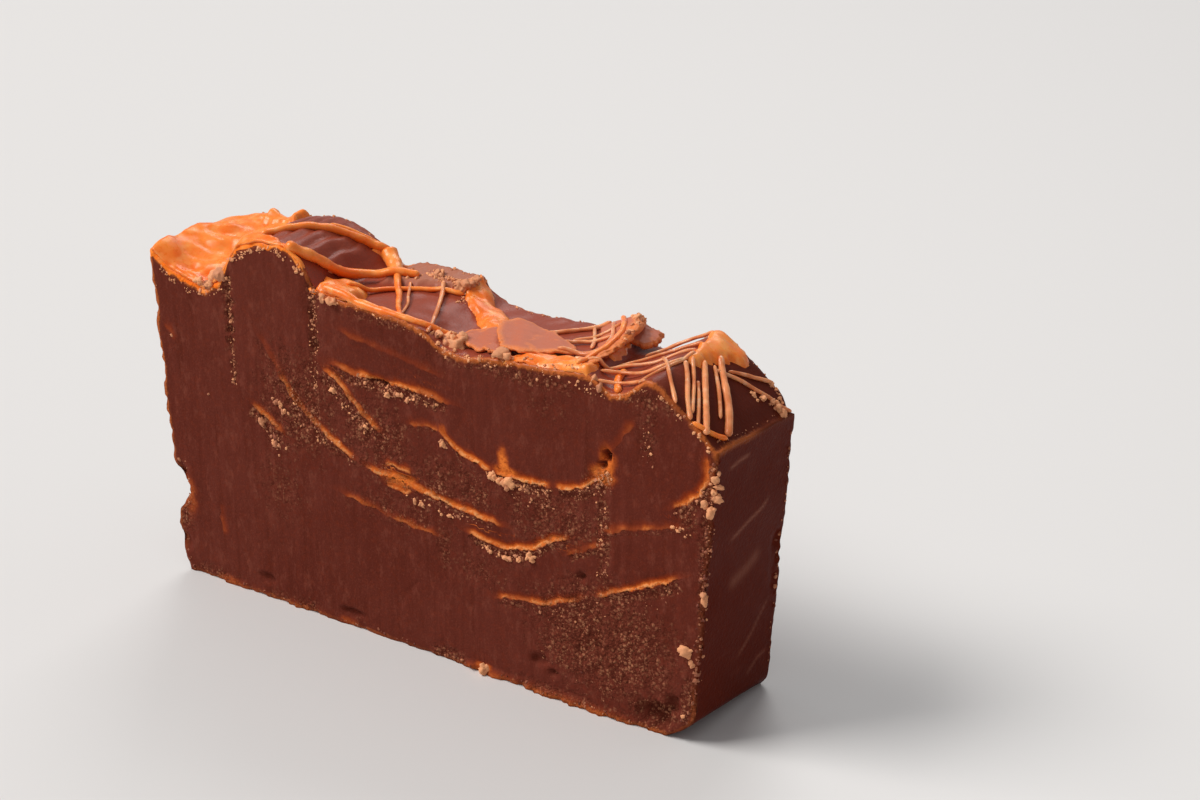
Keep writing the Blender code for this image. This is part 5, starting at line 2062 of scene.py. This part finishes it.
@dataclass(frozen=True)
class FudgeFinish:
    """Dark fudge: wire-cut and matt on the cuts, smooth on the ends, glossy on the folded top."""

    MASKS = "seam vein crumble edge tint lid side coat glow ledge pale scratch".split()
    dark: Colour = (0.114, 0.0215, 0.0130)
    warm: Colour = (0.139, 0.0292, 0.0184)
    end: Colour = (0.097, 0.0125, 0.0060)
    # lid is the top's colour in painted shade, left showing on the right facet; panel is the top's
    # lit colour over the rest
    lid: Colour = (0.098, 0.0145, 0.0066)
    panel: Colour = (0.285, 0.0520, 0.0260)
    # The pit colour is painted shade for holes, hollows and slits
    pit_shade: Colour = (0.036, 0.0055, 0.0030)
    shade: Colour = (0.092, 0.0165, 0.0090)
    bloom: Colour = (0.200, 0.0520, 0.0330)
    middling: Colour = (0.165, 0.0390, 0.0210)
    orange: Colour = (0.80, 0.20, 0.035)
    glow: Colour = (0.40, 0.050, 0.008)
    line: Colour = (0.88, 0.40, 0.15)
    tan: Colour = (0.56, 0.235, 0.120)
    # rim is the orange of the face edges: partly crumbly orange, partly painted edge sheen
    rim: Colour = (0.62, 0.155, 0.035)
    crest: Colour = (0.44, 0.175, 0.110)
    icing: IcingFinish = field(default_factory=IcingFinish)

    def build(self) -> Material:
        """Build the block's material from its masks.

        Returns:
            The material.
        """
        bench = Bench("marbled_fudge")
        seam, vein, crumble, edge, tint, lid, side, coat, glow, ledge, pale, scratch = (
            bench.mask(name) for name in self.MASKS
        )
        flat = (1.0 - lid) * (1.0 - side)

        broad = bench.noise(0.045, 3.0, 0.55)
        wiped = bench.noise(0.9, up=0.05, shift=4.0)
        fine = bench.noise(2.2, shift=6.0)
        speck, speck_pick = bench.crumbs(1.35, 2.0)
        grit, grit_pick = bench.crumbs(2.7, 5.0)
        ragged = bench.noise(1.1, shift=9.0)
        drift = bench.noise(0.22, 2.0, 0.5, shift=15.0)

        warmth = broad.ramp(0.35, 0.65) * 0.6 + wiped.ramp(0.4, 0.7) * drift * 0.35
        paint = Paint(bench, bench.mix(warmth, self.dark, self.warm))
        streaks = bench.noise(0.5, 4.0, 0.65, up=0.09, shift=19.0)
        paint.over(self.shade, streaks.ramp(0.50, 0.70) * flat * 0.55)
        flecks = bench.noise(0.55, 5.0, 0.72, up=0.5, shift=27.0)
        paint.over(self.bloom, flecks.ramp(0.50, 0.72) * flat * 0.6)
        dust = bench.noise(3.4, 3.0, 0.65, up=0.6, shift=29.0)
        paint.over(self.bloom, dust.ramp(0.52, 0.72) * flat * 0.4)
        smear = bench.noise(0.14, up=2.2, shift=17.0)
        paint.over(self.end, side * (1.0 - smear.ramp(0.5, 0.8) * 0.5))
        paint.over(self.crest, (scratch * (0.25 + fine * 0.5)).at_most(0.5))
        # Painted shade on the top: the dark lid colour first, then the lit panel colour where pale
        # is high
        paint.over(self.lid, lid)
        paint.over(self.panel, lid * pale * (0.75 + broad * 0.5).at_most(1.0))

        bright = vein * (0.58 + drift.ramp(0.38, 0.58) * 0.42)
        place = seam + (fine - 0.5) * 0.35
        above = place.ramp(-1.8, 0.0) * place.ramp(0.55, 0.1)
        paint.over(self.glow, (above * bright * (0.8 + ragged * 0.8)).at_most(1.0))
        hot = place.ramp(-0.9, -0.02) * place.ramp(0.45, 0.12) * (0.45 + ragged * 0.8)
        sharp = bright.ramp(0.10, 0.55)
        paint.over(self.orange, (hot * bright * sharp * 1.1).at_most(1.0))
        paint.over(self.glow, (0.5 - ragged).at_least(0.0) * (1.0 - lid) * 0.35)
        core = place.ramp(-0.30, 0.0) * place.ramp(0.38, 0.14) * bright * bright * sharp
        core = core * ragged.ramp(0.38, 0.54)
        paint.over(self.line, core.at_most(0.85))
        warm_glow = (glow * ragged.ramp(0.15, 0.5)).at_most(1.0).at_least(0.0)
        paint.over(self.glow, warm_glow * 0.85)
        strong = warm_glow**2.2 * (0.7 + fine.ramp(0.3, 0.6) * 0.4)
        paint.over(self.orange, strong.at_most(1.0))

        patchy = (crumble + (ragged - 0.5) * 0.9).ramp(0.12, 0.72)
        paint.over(self.middling, patchy * 0.45)
        coarse = speck.ramp(0.60, 0.25) * speck_pick.ramp(0.58, 0.72)
        small = grit.ramp(0.60, 0.25) * grit_pick.ramp(0.60, 0.72)
        cluster = bench.noise(0.38, up=0.4, shift=33.0).ramp(0.40, 0.60)
        bits = patchy * coarse.at_least(small * 0.8) * (0.35 + cluster * 0.65)
        # Painted shade in the holes between crumbs
        holes = patchy * speck_pick.ramp(0.30, 0.16).at_least(grit_pick.ramp(0.24, 0.12) * 0.8)
        paint.over(self.pit_shade, holes * (0.5 - tint * 0.35))
        paint.over(self.tan, (bits * (0.50 + tint * 0.25 + bright * 0.5)).at_most(0.95))
        # Painted shade in the hollows, where glow is below 0
        paint.over(self.pit_shade, (0.0 - glow).ramp(0.1, 0.9) * 0.85)
        # A thin painted shadow line just below each seam
        slit = place.ramp(0.28, 0.4) * place.ramp(0.62, 0.45) * bright * ragged.ramp(0.5, 0.62)
        paint.over(self.pit_shade, slit)

        # Orange along the face edges, partly the crumbly orange rim and partly painted edge sheen
        rim = (edge - (ragged - 0.35) * 1.5).ramp(0.95, 0.15) * tint
        rim = (rim * (1.0 - side * 0.6)).at_most(1.0)
        paint.over(self.rim, rim * 0.85)
        paint.over(self.crest, ledge * (0.65 + fine * 0.3))
        iced = (coat + (ragged - 0.5) * 1.0).ramp(-0.12, 0.2)
        paint.over(self.icing.colour(bench), iced)

        lines = bench.noise(1.5, up=0.035, shift=11.0)
        height = fine * 0.08 + lines * flat * drift * 0.09 + ragged * 0.10
        lumps = (0.62 - speck) * (0.25 + speck_pick) * 0.42 + (0.6 - grit) * 0.14
        height = height + patchy * lumps - holes * 0.30 + core * 0.1 - slit * 0.35
        height = height + rim * ragged * 0.35 + lid * bench.noise(0.5, 2.0, 0.5, shift=13.0) * 0.10
        rough = 0.52 - lid * 0.18 - side * 0.10 + patchy * 0.2 + (fine - 0.5) * 0.12
        gloss = (lid - iced * 0.4 - ledge * 0.7).at_least(0.0) * (0.12 + pale * 0.28)
        fixed = {
            "IOR": 1.45,
            "Specular IOR Level": 0.02,
            "Specular Tint": (1.0, 0.5, 0.35, 1.0),
            "Coat Weight": gloss,
            "Coat Roughness": 0.26,
            "Coat IOR": 1.4,
        }
        return bench.surface(paint.colour, rough, height, fixed)


@dataclass(frozen=True)
class FlakeFinish:
    """Pinkish brown flakes and curls, smeared with icing and pale at their torn edges."""

    brown: Colour = (0.50, 0.135, 0.068)
    orange: Colour = (0.82, 0.22, 0.050)
    crumb: Colour = (0.70, 0.34, 0.20)

    def build(self) -> Material:
        """Build the material.

        Returns:
            The material.
        """
        bench = Bench("torn_fudge")
        broad = bench.noise(0.35, shift=21.0)
        fine = bench.noise(2.4, shift=22.0)
        strokes = bench.noise(1.2, along=0.35, shift=23.0)
        torn = bench.mask("torn")
        smeared = torn * (0.4 + broad) + broad.ramp(0.55, 0.72) * 0.5
        base = bench.mix(smeared.at_most(0.9), self.brown, self.orange)
        base = bench.mix(torn * fine.ramp(0.5, 0.7) * 0.6, base, self.crumb)
        height = strokes * 0.10 + fine * (0.04 + torn * 0.2)
        fixed = {"IOR": 1.45, "Specular IOR Level": 0.2}
        return bench.surface(base, 0.36 + fine * 0.2, height, fixed)


@dataclass(frozen=True)
class CrumbFinish:
    """Crumbs from dark fudge to pale orange, by the tone stored on them."""

    stops: tuple[tuple[float, Colour], ...] = (
        (0.0, (0.13, 0.027, 0.016)),
        (0.35, (0.25, 0.066, 0.033)),
        (0.7, (0.54, 0.210, 0.105)),
        (1.0, (0.82, 0.360, 0.165)),
    )

    def build(self) -> Material:
        """Build the material.

        Returns:
            The material.
        """
        bench = Bench("fudge_crumb")
        tone = bench.mask("tone") + (bench.noise(1.4, shift=31.0) - 0.5) * 0.25
        ramp = bench.node("ShaderNodeValToRGB", {"stops": self.stops}, {"Fac": tone})
        height = bench.noise(3.0, 2.0, 0.6, shift=32.0) * 0.05
        fixed = {"IOR": 1.45, "Specular IOR Level": 0.25}
        return bench.surface(ramp.outputs["Color"], 0.6, height, fixed)


@dataclass(frozen=True)
class Lamp:
    """A square area light: its place and side in metres, its power in watts and its colour."""

    name: str
    place: tuple[float, float, float]
    side: float
    watts: float
    colour: Colour


@dataclass
class Studio:
    """The camera, the pale floor and the soft light, in metres."""

    camera_place: tuple[float, float, float] = (0.23825602, -0.3024954, 0.20966196)
    camera_pitch_deg: float = 22.947
    camera_yaw_deg: float = 34.344
    lens: float = 67.5
    sensor_width: float = 36.0
    floor_half: float = 3.0
    floor_colour: Colour = (0.67, 0.655, 0.640)
    aim: tuple[float, float, float] = (0.0, 0.0, 0.04)
    lamps: tuple[Lamp, ...] = (
        Lamp("key", (-1.65, -1.2, 2.4), 1.5, 94.0, (1.0, 0.985, 0.97)),
        Lamp("back", (-1.0, 2.2, 2.2), 1.5, 25.0, (1.0, 0.99, 0.98)),
    )
    sky_colour: Colour = (0.98, 0.98, 1.0)
    sky_strength: float = 0.36

    def camera(self) -> None:
        """Place the camera at the photograph's angle."""
        data = bpy.data.cameras.new("camera")
        data.lens, data.sensor_width = self.lens, self.sensor_width
        data.clip_start, data.clip_end = 0.01, 20.0
        item = placed("camera", data)
        item.location = self.camera_place
        pitch, yaw = math.radians(90 - self.camera_pitch_deg), math.radians(self.camera_yaw_deg)
        item.rotation_euler = (pitch, 0.0, yaw)
        bpy.context.scene.camera = item

    def floor(self) -> None:
        """Lay the pale floor."""
        bm = bmesh.new()
        bmesh.ops.create_grid(bm, x_segments=1, y_segments=1, size=self.floor_half)
        mesh = Dressing.mesh_of(bm, "floor", smooth=False)
        bench = Bench("pale_floor")
        inputs = {"Base Color": (*self.floor_colour, 1.0), "Roughness": 0.5}
        shader = bench.node("ShaderNodeBsdfPrincipled", {}, inputs)
        bench.node("ShaderNodeOutputMaterial", {}, {"Surface": shader.outputs["BSDF"]})
        mesh.materials.append(bench.material)
        placed("floor", mesh)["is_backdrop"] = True

    def light(self, lamp: Lamp) -> None:
        """Place a light that points at the slice.

        Args:
            lamp: The light.
        """
        data = bpy.data.lights.new(lamp.name, "AREA")
        data.size, data.energy, data.color = lamp.side, lamp.watts, lamp.colour
        item = placed(lamp.name, data)
        item.location = lamp.place
        towards = Vector(self.aim) - Vector(lamp.place)
        item.rotation_euler = towards.to_track_quat("-Z", "Y").to_euler()

    def build(self) -> None:
        """Build the camera, floor, lights and surroundings."""
        self.camera()
        self.floor()
        for lamp in self.lamps:
            self.light(lamp)
        world = bpy.data.worlds.new("studio")
        world.use_nodes = True
        background = world.node_tree.nodes["Background"]
        background.inputs["Color"].default_value = (*self.sky_colour, 1.0)
        background.inputs["Strength"].default_value = self.sky_strength
        bpy.context.scene.world = world
        bpy.context.scene.view_settings.view_transform = "Standard"


def corners(box: tuple[Vector, Vector]) -> list[list[float]]:
    """Return a box as plain lists of numbers."""
    return [[float(c) for c in corner] for corner in box]


def main() -> None:
    """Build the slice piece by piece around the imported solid."""
    logging.basicConfig(level=logging.INFO, format="%(name)s: %(message)s")
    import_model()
    cad_box = corners(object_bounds())
    Studio().build()

    form = SliceForm()
    icing, torn = IcingFinish().build(), FlakeFinish().build()
    thin = IcingFinish(*THIN_ICING).build()
    block = FudgeBlock(form, FudgeFinish().build()).build()
    bare = Ground([block], form)
    laid = [IcingSheet(bare, icing).build(), Flakes(bare, torn).build(), Curl(bare, torn).build()]
    ground = Ground([block, *laid], form)
    Drizzle(ground, icing, ROPES, "icing_ropes").build()
    Drizzle(ground, thin, THREADS, "icing_threads", 0.86).build()
    Crumbs(ground, CrumbFinish().build()).build()

    {"cad": cad_box, "visual": corners(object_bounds())}


if __name__ == "__main__":
    main()
